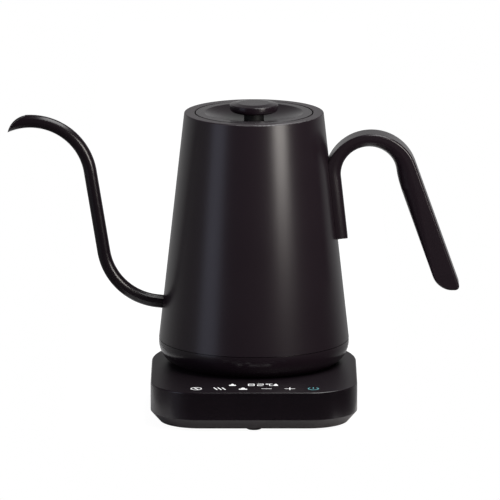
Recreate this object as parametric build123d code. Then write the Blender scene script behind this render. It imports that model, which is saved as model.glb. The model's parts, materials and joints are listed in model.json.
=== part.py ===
"""Gooseneck electric kettle on a touch-control power base, as separate pieces.

Millimetres, +Z up. The keys are towards -Y, the spout points to -X and the handle to +X.
Every piece is drawn around the upright axis of the kettle, with the standing surface at Z = 0.
At the end the whole is moved sideways, so that the origin is below the middle of its outline box.
"""
import os
from math import asin, atan, cos, degrees, radians, sin, sqrt, tan

from build123d import *

# Fits
FIT = 0.1  # between pieces that are put together and stay together
RUN = 0.5  # between pieces that move past each other
EMBED = 0.5  # how far a rib or post runs into the wall that carries it

# Power base, outside
BASE_HALF_WIDTH = 67.6  # also the radius of the half-round back
BASE_FRONT = 98.2  # from the kettle's axis to the front face
FRONT_CORNER_R = 32.4
FOOT_STAND = 2.3  # feet below the tray
TRAY_HEIGHT = 6.9
TRAY_SLOPE = 6.1  # how far the sloping edge runs inwards
HOUSING_HEIGHT = 18.3
HOUSING_EDGE_R = 1.0

# Power base, inside
HOUSING_WALL = 2.2
HOUSING_TOP = 2.2
TRAY_FLOOR = 2.0
LIP_WALL = 1.4  # tongue of the tray inside the housing
LIP_RISE = 3.0
FOOT_R = 5.0
FOOT_RECESS = 1.0
FOOT_MARGIN = 9.5  # centre of a foot from the edge of the floor
FOOT_EDGE_R = 0.8
POST_R = 3.6
POST_MARGIN = 14.0  # centre of a screw post from the side wall
BACK_POST_ANGLE = 40.0
BASE_SCREW_R = 1.5
BASE_SCREW_HEAD_R = 2.8
BASE_SCREW_HEAD = 1.8
BASE_SCREW_SUNK = 3.2
BASE_SCREW_GRIP = 8.0

# Socket of the base and plug of the kettle
DOCK_R = 21.0
DOCK_RISE = 8.0
DOCK_FLANGE_R = 28.0
DOCK_FLANGE = 3.0
DOCK_BARREL_R = 17.0
DOCK_DEPTH = 18.0
PIN_R = 3.2
PIN_LENGTH = 11.0
RING_R = 12.0
RING_WALL = 1.6
RING_LENGTH = 8.5
SOCKET_ROOM = 1.6  # room beside the pin and the ring for the spring contacts
SOCKET_BOTTOM_ROOM = 3.0
CONTACT_LEAF = 0.8
CONTACT_HEIGHT = 7.0
CONTACT_SPAN = 40.0
DOCK_SCREW_CIRCLE = 24.6
DOCK_SCREW_R = 1.2
DOCK_SCREW_HEAD_R = 2.3
DOCK_SCREW_HEAD = 1.6
DOCK_SCREW_GRIP = 1.4
PLUG_R = 19.5
PLUG_BODY = 2.2
PLUG_FLANGE_R = 22.0
PLUG_FLANGE = 2.0
PLUG_HUB_R = 8.0
PLUG_HUB = 2.2

# Boards in the base
KEY_COUNT = 6
KEY_PITCH = 15.2
KEY_ROW_Y = -86.1
DISPLAY_Y = -73.9
DISPLAY_WIDTH = 32.0
DISPLAY_DEPTH = 9.0
DISPLAY_HEIGHT = 5.0
BOARD = 1.6
CONTROL_WIDTH = 90.0
CONTROL_DEPTH = 23.0
CONTROL_Y = -81.2
GUIDE_HEIGHT = 6.0
TOUCH_PAD_R = 4.0
POWER_WIDTH = 60.0
POWER_DEPTH = 21.0
POWER_BACK = 14.1  # back edge of the power board from the back of the base
POWER_Y = BASE_HALF_WIDTH - POWER_BACK - POWER_DEPTH / 2
POWER_RISE = 5.0
POWER_POST_R = 2.4
POWER_POST_INSET = 4.0
RELAY_SIZE = (18.0, 13.0, 10.0)
RELAY_X = -16.0
CAPACITOR_R = 5.0
CAPACITOR_HEIGHT = 11.0
CAPACITOR_X = 2.0
BUZZER_R = 6.0
BUZZER_HEIGHT = 7.0
BUZZER_X = 17.0

# Leads inside the base and below the heater
LEAD_R = 1.1
LEAD_BEND_R = 2.0
LEAD_SAG = 3.6  # run of a base lead above the power board
LEAD_SPACING = 5.0
LEAD_BOARD_INSET = 2.5
LEAD_DOCK_REACH = 10.0  # end of a base lead from the axis
HEATER_LEAD_SAG = 4.0  # run of a heater lead below the element's terminals
HEATER_LEAD_END = 30.0  # end of a heater lead from the axis
RIBBON_WIDTH = 12.0
RIBBON = 0.8
RIBBON_X = 20.0
RIBBON_SAG = 3.0  # run of the ribbon above the power board
RIBBON_END_Y = -74.8

# Bush for the mains cord in the back wall
GLAND_RISE = 8.0
GLAND_NECK_R = 5.5
GLAND_FLANGE_R = 7.4
GLAND_FLANGE = 2.0
GLAND_BORE_R = 3.4

# Vessel
SEAT_GAP = 0.3
COVER_HEIGHT = 15.4
BODY_HEIGHT = 151.0
BODY_BOTTOM_R = 62.8
BODY_TOP_R = 45.9
SHELL_WALL = 0.8
RIM_EDGE_R = 0.8
LID_OPENING_R = 39.1
THROAT_DEPTH = 14.0
THROAT_EDGE_R = 0.35

# Bottom cover
SEAM_GAP = 0.5
COVER_STEP = 0.1
COVER_WALL = 2.0
COVER_ROUND_R = 15.5
COVER_EDGE_R = 1.5
COVER_LIP = 5.0
COVER_OPENING_ROOM = 1.5
COLLAR_WALL = 2.0
COVER_POST_R = 3.4
COVER_POST_CIRCLE = 48.5
COVER_POST_ANGLES = (60.0, 180.0, 300.0)
COVER_SCREW_R = 1.4
COVER_SCREW_HEAD_R = 2.4
COVER_SCREW_HEAD = 1.6
COVER_SCREW_SUNK = 6.0
COVER_SCREW_GRIP = 4.0

# Heater
PLATE_RISE = 12.0  # underside of the vessel's floor above the seam
PLATE = 1.0
PLATE_FLANGE = 6.0
WELD_NUT = 5.0
SPREADER_R = 43.5
SPREADER = 4.0
ELEMENT_CIRCLE = 37.6
ELEMENT_R = 3.6
ELEMENT_SPAN = 300.0
TERMINAL_R = 1.6
TERMINAL_LENGTH = 6.0
CUTOUT_R = 6.5
CUTOUT_HEIGHT = 6.0
CUTOUT_CIRCLE = 18.0
CUTOUT_ANGLES = (0.0, 180.0)
SENSOR_CIRCLE = 51.0
SENSOR_TIP_R = 2.4
SENSOR_TIP = 9.0
SENSOR_BODY_R = 4.6
SENSOR_BODY = 7.0
CARRIER_R = 33.0
CARRIER = 2.4
CARRIER_SKIRT_WALL = 2.0
CARRIER_LEG_R = 3.6
CARRIER_LEG_CIRCLE = 28.5
CARRIER_LEG_ANGLES = (90.0, 210.0, 330.0)
CARRIER_SCREW_R = 1.4
CARRIER_SCREW_HEAD_R = 2.6
CARRIER_SCREW_HEAD = 1.8
CARRIER_SCREW_GRIP = 2.5

# Spout
SPOUT_RISE = 23.6  # root above the seam
SPOUT_ROOT_R = 4.4
SPOUT_TIP_R = 4.25
SPOUT_WALL = 0.6
SPOUT_INSIDE = 2.5
SPOUT_ROOT_RUN = 3.9
SPOUT_BEND_R = 40.0
SPOUT_LEAN = 9.2  # riser from upright
SPOUT_RISER = 54.6
SPOUT_TOP_R = 40.0
SPOUT_DROOP = 24.5  # lower lip past the top of the bend
SPOUT_SPARE = 8.0  # length that the slanted cut takes off
SPOUT_CUT = 44.5  # slanted mouth from level
SPOUT_MOUTH = 15.7  # mouth from lip to lip
SPOUT_BOW = 2.0  # how far the cut bows out

# Handle
HANDLE_WIDTH = 19.6
HANDLE_EDGE_R = 1.0  # edges on the outer side
HANDLE_SOFT_R = 6.0  # edges on the hand's side
LEG_OFF = 6.6  # hand side of the leg from the vessel's wall
LEG_END_RISE = 66.9  # end of the leg above the seam
HOOK_RISE = 107.6
HOOK_IN_R = 18.4
HOOK_OUT_R = 30.9
HOOK = 9.0  # thickness at the top of the hook
HOOK_SHIFT = 1.7
HOOK_END_ANGLE = 192.0
GRIP = 14.6
GRIP_LEAN = 19.7
GRIP_KINK = 8.0
GRIP_BLEND = 14.0
GRIP_EASE = 5.0
GRIP_END_Z = 75.9
GRIP_INNER_R = 13.0
GRIP_OUTER_R = 3.0
BRACKET_WIDTH = 11.0
BRACKET_HEIGHT = 34.0
BRACKET = 2.0
BRACKET_RISE = 89.0
HANDLE_SCREW_SPACING = 20.0
HANDLE_SCREW_R = 1.5
HANDLE_SCREW_HEAD_R = 2.7
HANDLE_SCREW_HEAD = 1.5
HANDLE_COVER = 1.2
HANDLE_COVER_WIDTH = 7.0
HANDLE_COVER_HEIGHT = 32.0

# Lid
LID_R = 38.3
LID_WALL = 1.8
LID_SKIRT = 5.0
LID_EDGE_R = 0.4
DISH_R = 32.5
DISH_DEPTH = 5.1
LID_DEPTH = 13.0
LID_PLUG_WALL = 1.2
SEAL_HEIGHT = 4.0
SEAL_R = 38.6
VENT_R = 1.5
VENT_CIRCLE = 23.0
VENT_ANGLES = (65.0, 90.0, 115.0)
STEM_R = 6.6
KNOB_R = 15.9
KNOB_RISE = 0.2  # underside of the knob above the rim
KNOB_SIDE = 5.2
KNOB_HEIGHT = 6.1
KNOB_TOP_R = 10.3
KNOB_EDGE_R = 0.8
KNOB_UNDER_R = 3.0
KNOB_SCREW_R = 1.5
KNOB_SCREW_HEAD_R = 3.2
KNOB_SCREW_HEAD = 1.8
KNOB_SCREW_GRIP = 3.0

# Heights and places that follow from the sizes above
BASE_BOTTOM = FOOT_STAND
HOUSING_BOTTOM = BASE_BOTTOM + TRAY_HEIGHT
BASE_TOP = HOUSING_BOTTOM + HOUSING_HEIGHT
BASE_CEILING = BASE_TOP - HOUSING_TOP
LIP_INSET = HOUSING_WALL + FIT
DOCK_TOP = BASE_TOP + DOCK_RISE
PLUG_FACE = DOCK_TOP + RUN
PLUG_FLANGE_BOTTOM = PLUG_FACE + PLUG_BODY
PLUG_FLANGE_TOP = PLUG_FLANGE_BOTTOM + PLUG_FLANGE
CARRIER_BOTTOM = PLUG_FLANGE_TOP + RUN
CARRIER_TOP = CARRIER_BOTTOM + CARRIER
COLLAR_TOP = PLUG_FLANGE_BOTTOM - RUN
COVER_OPENING_R = DOCK_R + COVER_OPENING_ROOM
KETTLE_BOTTOM = BASE_TOP + SEAT_GAP
SEAM = KETTLE_BOTTOM + COVER_HEIGHT
RIM = SEAM + BODY_HEIGHT
PLATE_BOTTOM = SEAM + PLATE_RISE
PLATE_TOP = PLATE_BOTTOM + PLATE
SPREADER_BOTTOM = PLATE_BOTTOM - SPREADER
BOARD_TOP = BASE_CEILING - GUIDE_HEIGHT
POWER_BOTTOM = BASE_BOTTOM + TRAY_FLOOR + POWER_RISE
POWER_TOP = POWER_BOTTOM + BOARD
WALL_TILT = degrees(atan((BODY_BOTTOM_R - BODY_TOP_R) / BODY_HEIGHT))
DISH_SPHERE_R = (DISH_R**2 + DISH_DEPTH**2) / (2 * DISH_DEPTH)
KNOB_BOTTOM = RIM + KNOB_RISE
UPRIGHT = (Align.CENTER, Align.CENTER, Align.MIN)


def body_radius(height):
    """Outer radius of the vessel's straight wall at a height."""
    return BODY_BOTTOM_R - (height - SEAM) * tan(radians(WALL_TILT))


def inner_radius(height):
    """Inner radius of the vessel's straight wall at a height."""
    return body_radius(height) - SHELL_WALL / cos(radians(WALL_TILT))


def dish_height(radius):
    """Height of the lid's dished top at a radius."""
    return RIM - DISH_DEPTH + DISH_SPHERE_R - sqrt(DISH_SPHERE_R**2 - radius**2)


def rod(radius, bottom, top):
    """Upright round rod on the axis between two heights."""
    return Pos(0, 0, bottom) * Cylinder(radius, top - bottom, align=UPRIGHT)


def tube(outer, inner, bottom, top):
    """Upright round tube on the axis between two heights."""
    return rod(outer, bottom, top) - rod(inner, bottom, top)


def block(width, depth, bottom, top):
    """Upright block on the axis between two heights."""
    return Pos(0, 0, bottom) * Box(width, depth, top - bottom, align=UPRIGHT)


def polar(circle, angle):
    """Place on a circle about the axis."""
    return Pos(circle * cos(radians(angle)), circle * sin(radians(angle)), 0)


def rounded(face, rounds):
    """Flat face with some of its corners rounded, given as (corner, radius) pairs."""
    for corner, radius in rounds:
        face = fillet(face.vertices().sort_by_distance(Vector(*corner))[0], radius)
    return face


def lathe(face):
    """Solid turned about the axis from a face drawn in radius and height."""
    return revolve(Plane.XZ * face, Axis.Z)


def outline(*corners):
    """Flat face inside straight lines from corner to corner."""
    return make_face(Polyline(*corners, close=True))


def group(solids):
    """Equal pieces that share one node."""
    return Compound([solid for shape in solids for solid in shape.solids()])


def base_outline(inset):
    """Plan of the base drawn in by an inset: half-round back, straight sides, rounded corners."""
    half = BASE_HALF_WIDTH - inset
    front = inset - BASE_FRONT
    corner = FRONT_CORNER_R - inset
    turn = half - corner
    back = CenterArc((0, 0), half, 0, 180)
    left = Line((-half, 0), (-half, front + corner))
    left_corner = CenterArc((-turn, front + corner), corner, 180, 90)
    face_line = Line((-turn, front), (turn, front))
    right_corner = CenterArc((turn, front + corner), corner, 270, 90)
    right = Line((half, front + corner), (half, 0))
    return make_face([back, left, left_corner, face_line, right_corner, right])


def base_prism(inset, bottom, top):
    """Upright block with the plan of the base."""
    return extrude(Pos(0, 0, bottom) * base_outline(inset), top - bottom)


def foot_spots():
    """Places of the feet: one at each side of the floor."""
    side = BASE_HALF_WIDTH - TRAY_SLOPE - FOOT_MARGIN
    front = BASE_FRONT - TRAY_SLOPE - FOOT_MARGIN
    return [Pos(0, -front, 0), Pos(side, 0, 0), Pos(0, side, 0), Pos(-side, 0, 0)]


def post_spots():
    """Places of the screws that hold the tray to the housing."""
    circle = BASE_HALF_WIDTH - POST_MARGIN
    corner_y = FRONT_CORNER_R - BASE_FRONT
    front = [Pos(circle, corner_y, 0), Pos(-circle, corner_y, 0)]
    return front + [polar(circle, BACK_POST_ANGLE), polar(circle, 180 - BACK_POST_ANGLE)]


def dock_screw_spots():
    """Places of the screws that hold the socket to the housing."""
    return [polar(DOCK_SCREW_CIRCLE, angle) for angle in (30, 150, 270)]


def key_spots():
    """Places of the touch keys in their row."""
    middle = (KEY_COUNT - 1) / 2
    return [Pos((index - middle) * KEY_PITCH, KEY_ROW_Y, 0) for index in range(KEY_COUNT)]


def power_post_spots():
    """Places of the posts under the power board."""
    across = POWER_WIDTH / 2 - POWER_POST_INSET
    along = POWER_DEPTH / 2 - POWER_POST_INSET
    return [Pos(x, POWER_Y + y, 0) for x in (-across, across) for y in (-along, along)]


def gland_inner_face():
    """Distance from the axis to the flat behind which the bush grips the round wall."""
    return sqrt((BASE_HALF_WIDTH - HOUSING_WALL) ** 2 - GLAND_FLANGE_R**2) - FIT


def gland_axis(distance):
    """Place on the bush's axis, with its own Z running outwards."""
    return Plane(origin=(0, distance, HOUSING_BOTTOM + GLAND_RISE), z_dir=(0, 1, 0))


def base_housing():
    shell = base_prism(0, HOUSING_BOTTOM, BASE_TOP)
    shell = fillet(shell.edges().group_by(Axis.Z)[-1], HOUSING_EDGE_R)
    shell -= base_prism(HOUSING_WALL, HOUSING_BOTTOM, BASE_CEILING)
    for spot in post_spots():
        shell += spot * rod(POST_R, HOUSING_BOTTOM, BASE_CEILING + EMBED)
        shell -= spot * rod(BASE_SCREW_R + FIT, HOUSING_BOTTOM, HOUSING_BOTTOM + BASE_SCREW_GRIP + FIT)
    shell -= rod(DOCK_R + FIT, BASE_CEILING, BASE_TOP)
    for spot in dock_screw_spots():
        shell -= spot * rod(DOCK_SCREW_R + FIT, BASE_CEILING, BASE_CEILING + DOCK_SCREW_GRIP + FIT)
    hole = Cylinder(GLAND_NECK_R + FIT, BASE_HALF_WIDTH, align=UPRIGHT)
    return shell - gland_axis(BASE_HALF_WIDTH / 2) * hole


def base_tray():
    inner = LIP_INSET + LIP_WALL
    floor_inset = TRAY_SLOPE * (TRAY_HEIGHT - TRAY_FLOOR) / TRAY_HEIGHT
    floor_top = BASE_BOTTOM + TRAY_FLOOR
    lower = Pos(0, 0, BASE_BOTTOM) * base_outline(TRAY_SLOPE)
    upper = Pos(0, 0, HOUSING_BOTTOM) * base_outline(0)
    room_lower = Pos(0, 0, floor_top) * base_outline(inner + floor_inset)
    room_upper = Pos(0, 0, HOUSING_BOTTOM) * base_outline(inner)
    tray = loft([lower, upper], ruled=True) - loft([room_lower, room_upper], ruled=True)
    lip_top = HOUSING_BOTTOM + LIP_RISE
    lip_root = HOUSING_BOTTOM - EMBED
    tray += base_prism(LIP_INSET, lip_root, lip_top) - base_prism(inner, lip_root, lip_top)
    for spot in post_spots():
        tray += spot * rod(POST_R, floor_top - EMBED, HOUSING_BOTTOM)
        tray -= spot * rod(BASE_SCREW_R + FIT, BASE_BOTTOM, HOUSING_BOTTOM)
        tray -= spot * rod(BASE_SCREW_HEAD_R + FIT, BASE_BOTTOM, BASE_BOTTOM + BASE_SCREW_SUNK)
    for spot in power_post_spots():
        tray += spot * rod(POWER_POST_R, floor_top - EMBED, POWER_BOTTOM)
    for spot in foot_spots():
        tray -= spot * rod(FOOT_R + FIT, BASE_BOTTOM, BASE_BOTTOM + FOOT_RECESS)
    notch = Cylinder(GLAND_FLANGE_R + FIT, BASE_HALF_WIDTH, align=UPRIGHT)
    return tray - gland_axis(BASE_HALF_WIDTH / 2) * notch


def feet():
    foot = rod(FOOT_R, 0, BASE_BOTTOM + FOOT_RECESS)
    foot = fillet(foot.edges().group_by(Axis.Z)[0], FOOT_EDGE_R)
    return group(spot * foot for spot in foot_spots())


def screw(shank_r, head_r, head, bearing, tip):
    """Screw pointing up: its head hangs below the bearing height and its shank ends at the tip."""
    return rod(head_r, bearing - head, bearing) + rod(shank_r, bearing, tip)


def base_screws():
    bearing = BASE_BOTTOM + BASE_SCREW_SUNK
    tip = HOUSING_BOTTOM + BASE_SCREW_GRIP
    one = screw(BASE_SCREW_R, BASE_SCREW_HEAD_R, BASE_SCREW_HEAD, bearing, tip)
    return group(spot * one for spot in post_spots())


def base_connector():
    flange_bottom = BASE_CEILING - DOCK_FLANGE
    socket = rod(DOCK_R, BASE_CEILING, DOCK_TOP) + rod(DOCK_FLANGE_R, flange_bottom, BASE_CEILING)
    socket += rod(DOCK_BARREL_R, DOCK_TOP - DOCK_DEPTH, flange_bottom)
    pin_floor = PLUG_FACE - PIN_LENGTH - SOCKET_BOTTOM_ROOM
    ring_floor = PLUG_FACE - RING_LENGTH - SOCKET_BOTTOM_ROOM
    socket -= rod(PIN_R + SOCKET_ROOM, pin_floor, DOCK_TOP)
    socket -= tube(RING_R + SOCKET_ROOM, RING_R - RING_WALL - RUN, ring_floor, DOCK_TOP)
    for spot in dock_screw_spots():
        socket -= spot * rod(DOCK_SCREW_R + FIT, flange_bottom, BASE_CEILING)
    return socket


def base_contacts():
    outer = RING_R + SOCKET_ROOM - FIT
    leaf_bottom = PLUG_FACE - RING_LENGTH
    leaf_top = leaf_bottom + CONTACT_HEIGHT
    leaf_in = outer - CONTACT_LEAF
    strip = outline(
        (leaf_in, leaf_bottom), (outer, leaf_bottom), (outer, leaf_top), (leaf_in, leaf_top)
    )
    leaf = revolve(Plane.XZ * strip, Axis.Z, CONTACT_SPAN)
    pin_outer = PIN_R + SOCKET_ROOM - FIT
    pin_bottom = PLUG_FACE - PIN_LENGTH
    sleeve = tube(pin_outer, pin_outer - CONTACT_LEAF, pin_bottom, pin_bottom + CONTACT_HEIGHT)
    return group([Rot(0, 0, angle) * leaf for angle in (90, 210, 330)] + [sleeve])


def connector_screws():
    bearing = BASE_CEILING - DOCK_FLANGE
    tip = BASE_CEILING + DOCK_SCREW_GRIP
    one = screw(DOCK_SCREW_R, DOCK_SCREW_HEAD_R, DOCK_SCREW_HEAD, bearing, tip)
    return group(spot * one for spot in dock_screw_spots())


def control_board():
    return Pos(0, CONTROL_Y, 0) * block(CONTROL_WIDTH, CONTROL_DEPTH, BOARD_TOP - BOARD, BOARD_TOP)


def light_guide():
    guide = Pos(0, CONTROL_Y, 0) * block(CONTROL_WIDTH, CONTROL_DEPTH, BOARD_TOP, BASE_CEILING)
    window = block(DISPLAY_WIDTH + 2 * FIT, DISPLAY_DEPTH + 2 * FIT, BOARD_TOP, BASE_CEILING)
    guide -= Pos(0, DISPLAY_Y, 0) * window
    for spot in key_spots():
        guide -= spot * rod(TOUCH_PAD_R + FIT, BOARD_TOP, BASE_CEILING)
    return guide


def display_module():
    body = block(DISPLAY_WIDTH, DISPLAY_DEPTH, BOARD_TOP, BOARD_TOP + DISPLAY_HEIGHT)
    return Pos(0, DISPLAY_Y, 0) * body


def touch_pads():
    return group(spot * rod(TOUCH_PAD_R, BOARD_TOP, BASE_CEILING) for spot in key_spots())


def power_board():
    return Pos(0, POWER_Y, 0) * block(POWER_WIDTH, POWER_DEPTH, POWER_BOTTOM, POWER_TOP)


def power_relay():
    width, depth, height = RELAY_SIZE
    return Pos(RELAY_X, POWER_Y, 0) * block(width, depth, POWER_TOP, POWER_TOP + height)


def filter_capacitor():
    return Pos(CAPACITOR_X, POWER_Y, 0) * rod(CAPACITOR_R, POWER_TOP, POWER_TOP + CAPACITOR_HEIGHT)


def buzzer():
    return Pos(BUZZER_X, POWER_Y, 0) * rod(BUZZER_R, POWER_TOP, POWER_TOP + BUZZER_HEIGHT)


def lead(plane, corners):
    """Round lead along a path with rounded corners, drawn on a plane."""
    path = plane * FilletPolyline(*corners, radius=LEAD_BEND_R)
    return sweep(Plane(origin=path @ 0, z_dir=path % 0) * Circle(LEAD_R), path=path)


def base_leads():
    start = POWER_Y - POWER_DEPTH / 2 + LEAD_BOARD_INSET
    run = POWER_TOP + LEAD_SAG
    corners = [(start, POWER_TOP), (start, run), (LEAD_DOCK_REACH, run)]
    corners.append((LEAD_DOCK_REACH, DOCK_TOP - DOCK_DEPTH))
    places = (-LEAD_SPACING, 0, LEAD_SPACING)
    return group(Pos(x, 0, 0) * lead(Plane.YZ, corners) for x in places)


def ribbon_cable():
    start = POWER_Y - POWER_DEPTH / 2 + LEAD_BOARD_INSET
    run = POWER_TOP + RIBBON_SAG
    corners = [(start, POWER_TOP), (start, run), (RIBBON_END_Y, run)]
    corners.append((RIBBON_END_Y, BOARD_TOP - BOARD))
    path = Pos(RIBBON_X, 0, 0) * (Plane.YZ * FilletPolyline(*corners, radius=LEAD_BEND_R))
    section = Plane(origin=path @ 0, x_dir=(1, 0, 0), z_dir=path % 0)
    return sweep(section * Rectangle(RIBBON_WIDTH, RIBBON), path=path)


def heater_leads():
    terminal = SPREADER_BOTTOM - 2 * ELEMENT_R - TERMINAL_LENGTH
    run = terminal - HEATER_LEAD_SAG
    half_gap = (360 - ELEMENT_SPAN) / 2
    ends = [(90 - half_gap, ELEMENT_CIRCLE, terminal), (90 + half_gap, ELEMENT_CIRCLE, terminal)]
    ends.append((0, SENSOR_CIRCLE, PLATE_BOTTOM - SENSOR_BODY))
    leads = []
    for angle, circle, top in ends:
        corners = [(circle, top), (circle, run), (HEATER_LEAD_END, run)]
        corners.append((HEATER_LEAD_END, CARRIER_BOTTOM))
        leads.append(Rot(0, 0, angle) * lead(Plane.XZ, corners))
    return group(leads)


def cord_gland():
    inner = gland_inner_face()
    neck_end = BASE_HALF_WIDTH - inner
    outer_end = neck_end + GLAND_FLANGE
    bush = rod(GLAND_FLANGE_R, -GLAND_FLANGE, 0) + rod(GLAND_FLANGE_R, neck_end, outer_end)
    bush += rod(GLAND_NECK_R, 0, neck_end)
    return gland_axis(inner) * (bush - rod(GLAND_BORE_R, -GLAND_FLANGE, outer_end))


def plug_housing():
    plug = rod(PLUG_R, PLUG_FACE, PLUG_FLANGE_BOTTOM)
    plug += rod(PLUG_FLANGE_R, PLUG_FLANGE_BOTTOM, PLUG_FLANGE_TOP)
    plug += rod(PLUG_HUB_R, PLUG_FLANGE_TOP, PLUG_FLANGE_TOP + PLUG_HUB)
    plug -= rod(PIN_R + FIT, PLUG_FACE, PLUG_FLANGE_TOP)
    return plug - tube(RING_R + FIT, RING_R - RING_WALL - FIT, PLUG_FACE, PLUG_FLANGE_BOTTOM)


def plug_pin():
    pin = rod(PIN_R, PLUG_FACE - PIN_LENGTH, PLUG_FLANGE_TOP)
    return fillet(pin.edges().group_by(Axis.Z)[0], PIN_R / 2)


def plug_ring():
    return tube(RING_R, RING_R - RING_WALL, PLUG_FACE - RING_LENGTH, PLUG_FLANGE_BOTTOM)


def plug_carrier():
    inner = PLUG_FLANGE_R + RUN
    carrier = tube(CARRIER_R, PLUG_HUB_R + RUN, CARRIER_BOTTOM, CARRIER_TOP)
    carrier += tube(inner + CARRIER_SKIRT_WALL, inner, COLLAR_TOP, CARRIER_BOTTOM)
    for angle in CARRIER_LEG_ANGLES:
        spot = polar(CARRIER_LEG_CIRCLE, angle)
        carrier += spot * rod(CARRIER_LEG_R, CARRIER_TOP - EMBED, SPREADER_BOTTOM)
        carrier -= spot * rod(CARRIER_SCREW_R + FIT, CARRIER_BOTTOM, SPREADER_BOTTOM)
    return carrier


def carrier_screws():
    tip = SPREADER_BOTTOM + CARRIER_SCREW_GRIP
    one = screw(CARRIER_SCREW_R, CARRIER_SCREW_HEAD_R, CARRIER_SCREW_HEAD, CARRIER_BOTTOM, tip)
    return group(polar(CARRIER_LEG_CIRCLE, angle) * one for angle in CARRIER_LEG_ANGLES)


def bottom_cover():
    top = SEAM - SEAM_GAP
    top_r = BODY_BOTTOM_R - COVER_STEP
    centre_r = top_r - COVER_ROUND_R * cos(radians(WALL_TILT))
    centre_z = top - COVER_ROUND_R * sin(radians(WALL_TILT))
    inner_r = COVER_ROUND_R - COVER_WALL
    floor = KETTLE_BOTTOM + COVER_WALL
    outer_turn = degrees(asin((centre_z - KETTLE_BOTTOM) / COVER_ROUND_R))
    inner_turn = degrees(asin((centre_z - floor) / inner_r))
    outer_arc = CenterArc((centre_r, centre_z), COVER_ROUND_R, WALL_TILT, -outer_turn - WALL_TILT)
    inner_arc = CenterArc((centre_r, centre_z), inner_r, WALL_TILT, -inner_turn - WALL_TILT)
    collar_out = COVER_OPENING_R + COLLAR_WALL
    hole_r = PLUG_R + RUN
    ledge = COLLAR_TOP - COLLAR_WALL / 2
    edge = outer_arc @ 1
    corners = [edge, (COVER_OPENING_R, KETTLE_BOTTOM), (COVER_OPENING_R, ledge), (hole_r, ledge)]
    corners += [(hole_r, COLLAR_TOP), (collar_out, COLLAR_TOP), (collar_out, floor), inner_arc @ 1]
    lip_top = SEAM + COVER_LIP
    lip_out = inner_radius(SEAM) - FIT
    lip_end = inner_radius(lip_top) - FIT
    lip_in = top_r - COVER_WALL
    lip = [inner_arc @ 0, (lip_in - lip_out + lip_end, lip_top), (lip_end, lip_top), (lip_out, SEAM)]
    lip += [(lip_out, top), outer_arc @ 0]
    face = make_face([outer_arc, Polyline(*corners), inner_arc, Polyline(*lip)])
    cover = lathe(rounded(face, [((edge.X, edge.Y), COVER_EDGE_R)]))
    post_top = PLATE_BOTTOM - WELD_NUT
    for angle in COVER_POST_ANGLES:
        spot = polar(COVER_POST_CIRCLE, angle)
        cover += spot * rod(COVER_POST_R, floor - EMBED, post_top)
        cover -= spot * rod(COVER_SCREW_R + FIT, KETTLE_BOTTOM, post_top)
        cover -= spot * rod(COVER_SCREW_HEAD_R + FIT, KETTLE_BOTTOM, KETTLE_BOTTOM + COVER_SCREW_SUNK)
    return cover


def bottom_screws():
    bearing = KETTLE_BOTTOM + COVER_SCREW_SUNK
    tip = PLATE_BOTTOM - WELD_NUT + COVER_SCREW_GRIP
    one = screw(COVER_SCREW_R, COVER_SCREW_HEAD_R, COVER_SCREW_HEAD, bearing, tip)
    return group(polar(COVER_POST_CIRCLE, angle) * one for angle in COVER_POST_ANGLES)


def element_plate():
    flange = PLATE_BOTTOM - PLATE_FLANGE
    top_r = inner_radius(PLATE_TOP) - FIT
    low_r = inner_radius(flange) - FIT
    bend_r = inner_radius(PLATE_BOTTOM) - FIT - PLATE
    corners = [(0, PLATE_BOTTOM), (bend_r, PLATE_BOTTOM), (low_r - PLATE, flange), (low_r, flange)]
    plate = lathe(outline(*corners, (top_r, PLATE_TOP), (0, PLATE_TOP)))
    for angle in COVER_POST_ANGLES:
        spot = polar(COVER_POST_CIRCLE, angle)
        nut_bottom = PLATE_BOTTOM - WELD_NUT
        plate += spot * rod(COVER_POST_R, nut_bottom, PLATE_BOTTOM + EMBED)
        plate -= spot * rod(COVER_SCREW_R + FIT, nut_bottom, nut_bottom + COVER_SCREW_GRIP + FIT)
    return plate - polar(SENSOR_CIRCLE, 0) * rod(SENSOR_TIP_R + FIT, PLATE_BOTTOM, PLATE_TOP)


def heat_spreader():
    spreader = rod(SPREADER_R, SPREADER_BOTTOM, PLATE_BOTTOM)
    for angle in CARRIER_LEG_ANGLES:
        depth = CARRIER_SCREW_GRIP + FIT
        hole = rod(CARRIER_SCREW_R + FIT, SPREADER_BOTTOM, SPREADER_BOTTOM + depth)
        spreader -= polar(CARRIER_LEG_CIRCLE, angle) * hole
    return spreader


def heating_element():
    middle = SPREADER_BOTTOM - ELEMENT_R
    start = 90 + (360 - ELEMENT_SPAN) / 2
    loop = CenterArc((0, 0, middle), ELEMENT_CIRCLE, start, ELEMENT_SPAN)
    section = Plane(origin=loop @ 0, z_dir=loop % 0) * Circle(ELEMENT_R)
    element = sweep(section, path=loop)
    for end in (loop @ 0, loop @ 1):
        pin = rod(TERMINAL_R, middle - ELEMENT_R - TERMINAL_LENGTH, middle)
        element += Pos(end.X, end.Y, 0) * pin + Pos(end.X, end.Y, middle) * Sphere(ELEMENT_R)
    return element


def temperature_sensor():
    tip = PLATE_TOP + SENSOR_TIP
    probe = rod(SENSOR_BODY_R, PLATE_BOTTOM - SENSOR_BODY, PLATE_BOTTOM)
    probe += rod(SENSOR_TIP_R, PLATE_BOTTOM, tip)
    probe = fillet(probe.edges().group_by(Axis.Z)[-1], SENSOR_TIP_R / 2)
    return polar(SENSOR_CIRCLE, 0) * probe


def thermal_cutouts():
    one = rod(CUTOUT_R, SPREADER_BOTTOM - CUTOUT_HEIGHT, SPREADER_BOTTOM)
    return group(polar(CUTOUT_CIRCLE, angle) * one for angle in CUTOUT_ANGLES)


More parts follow.
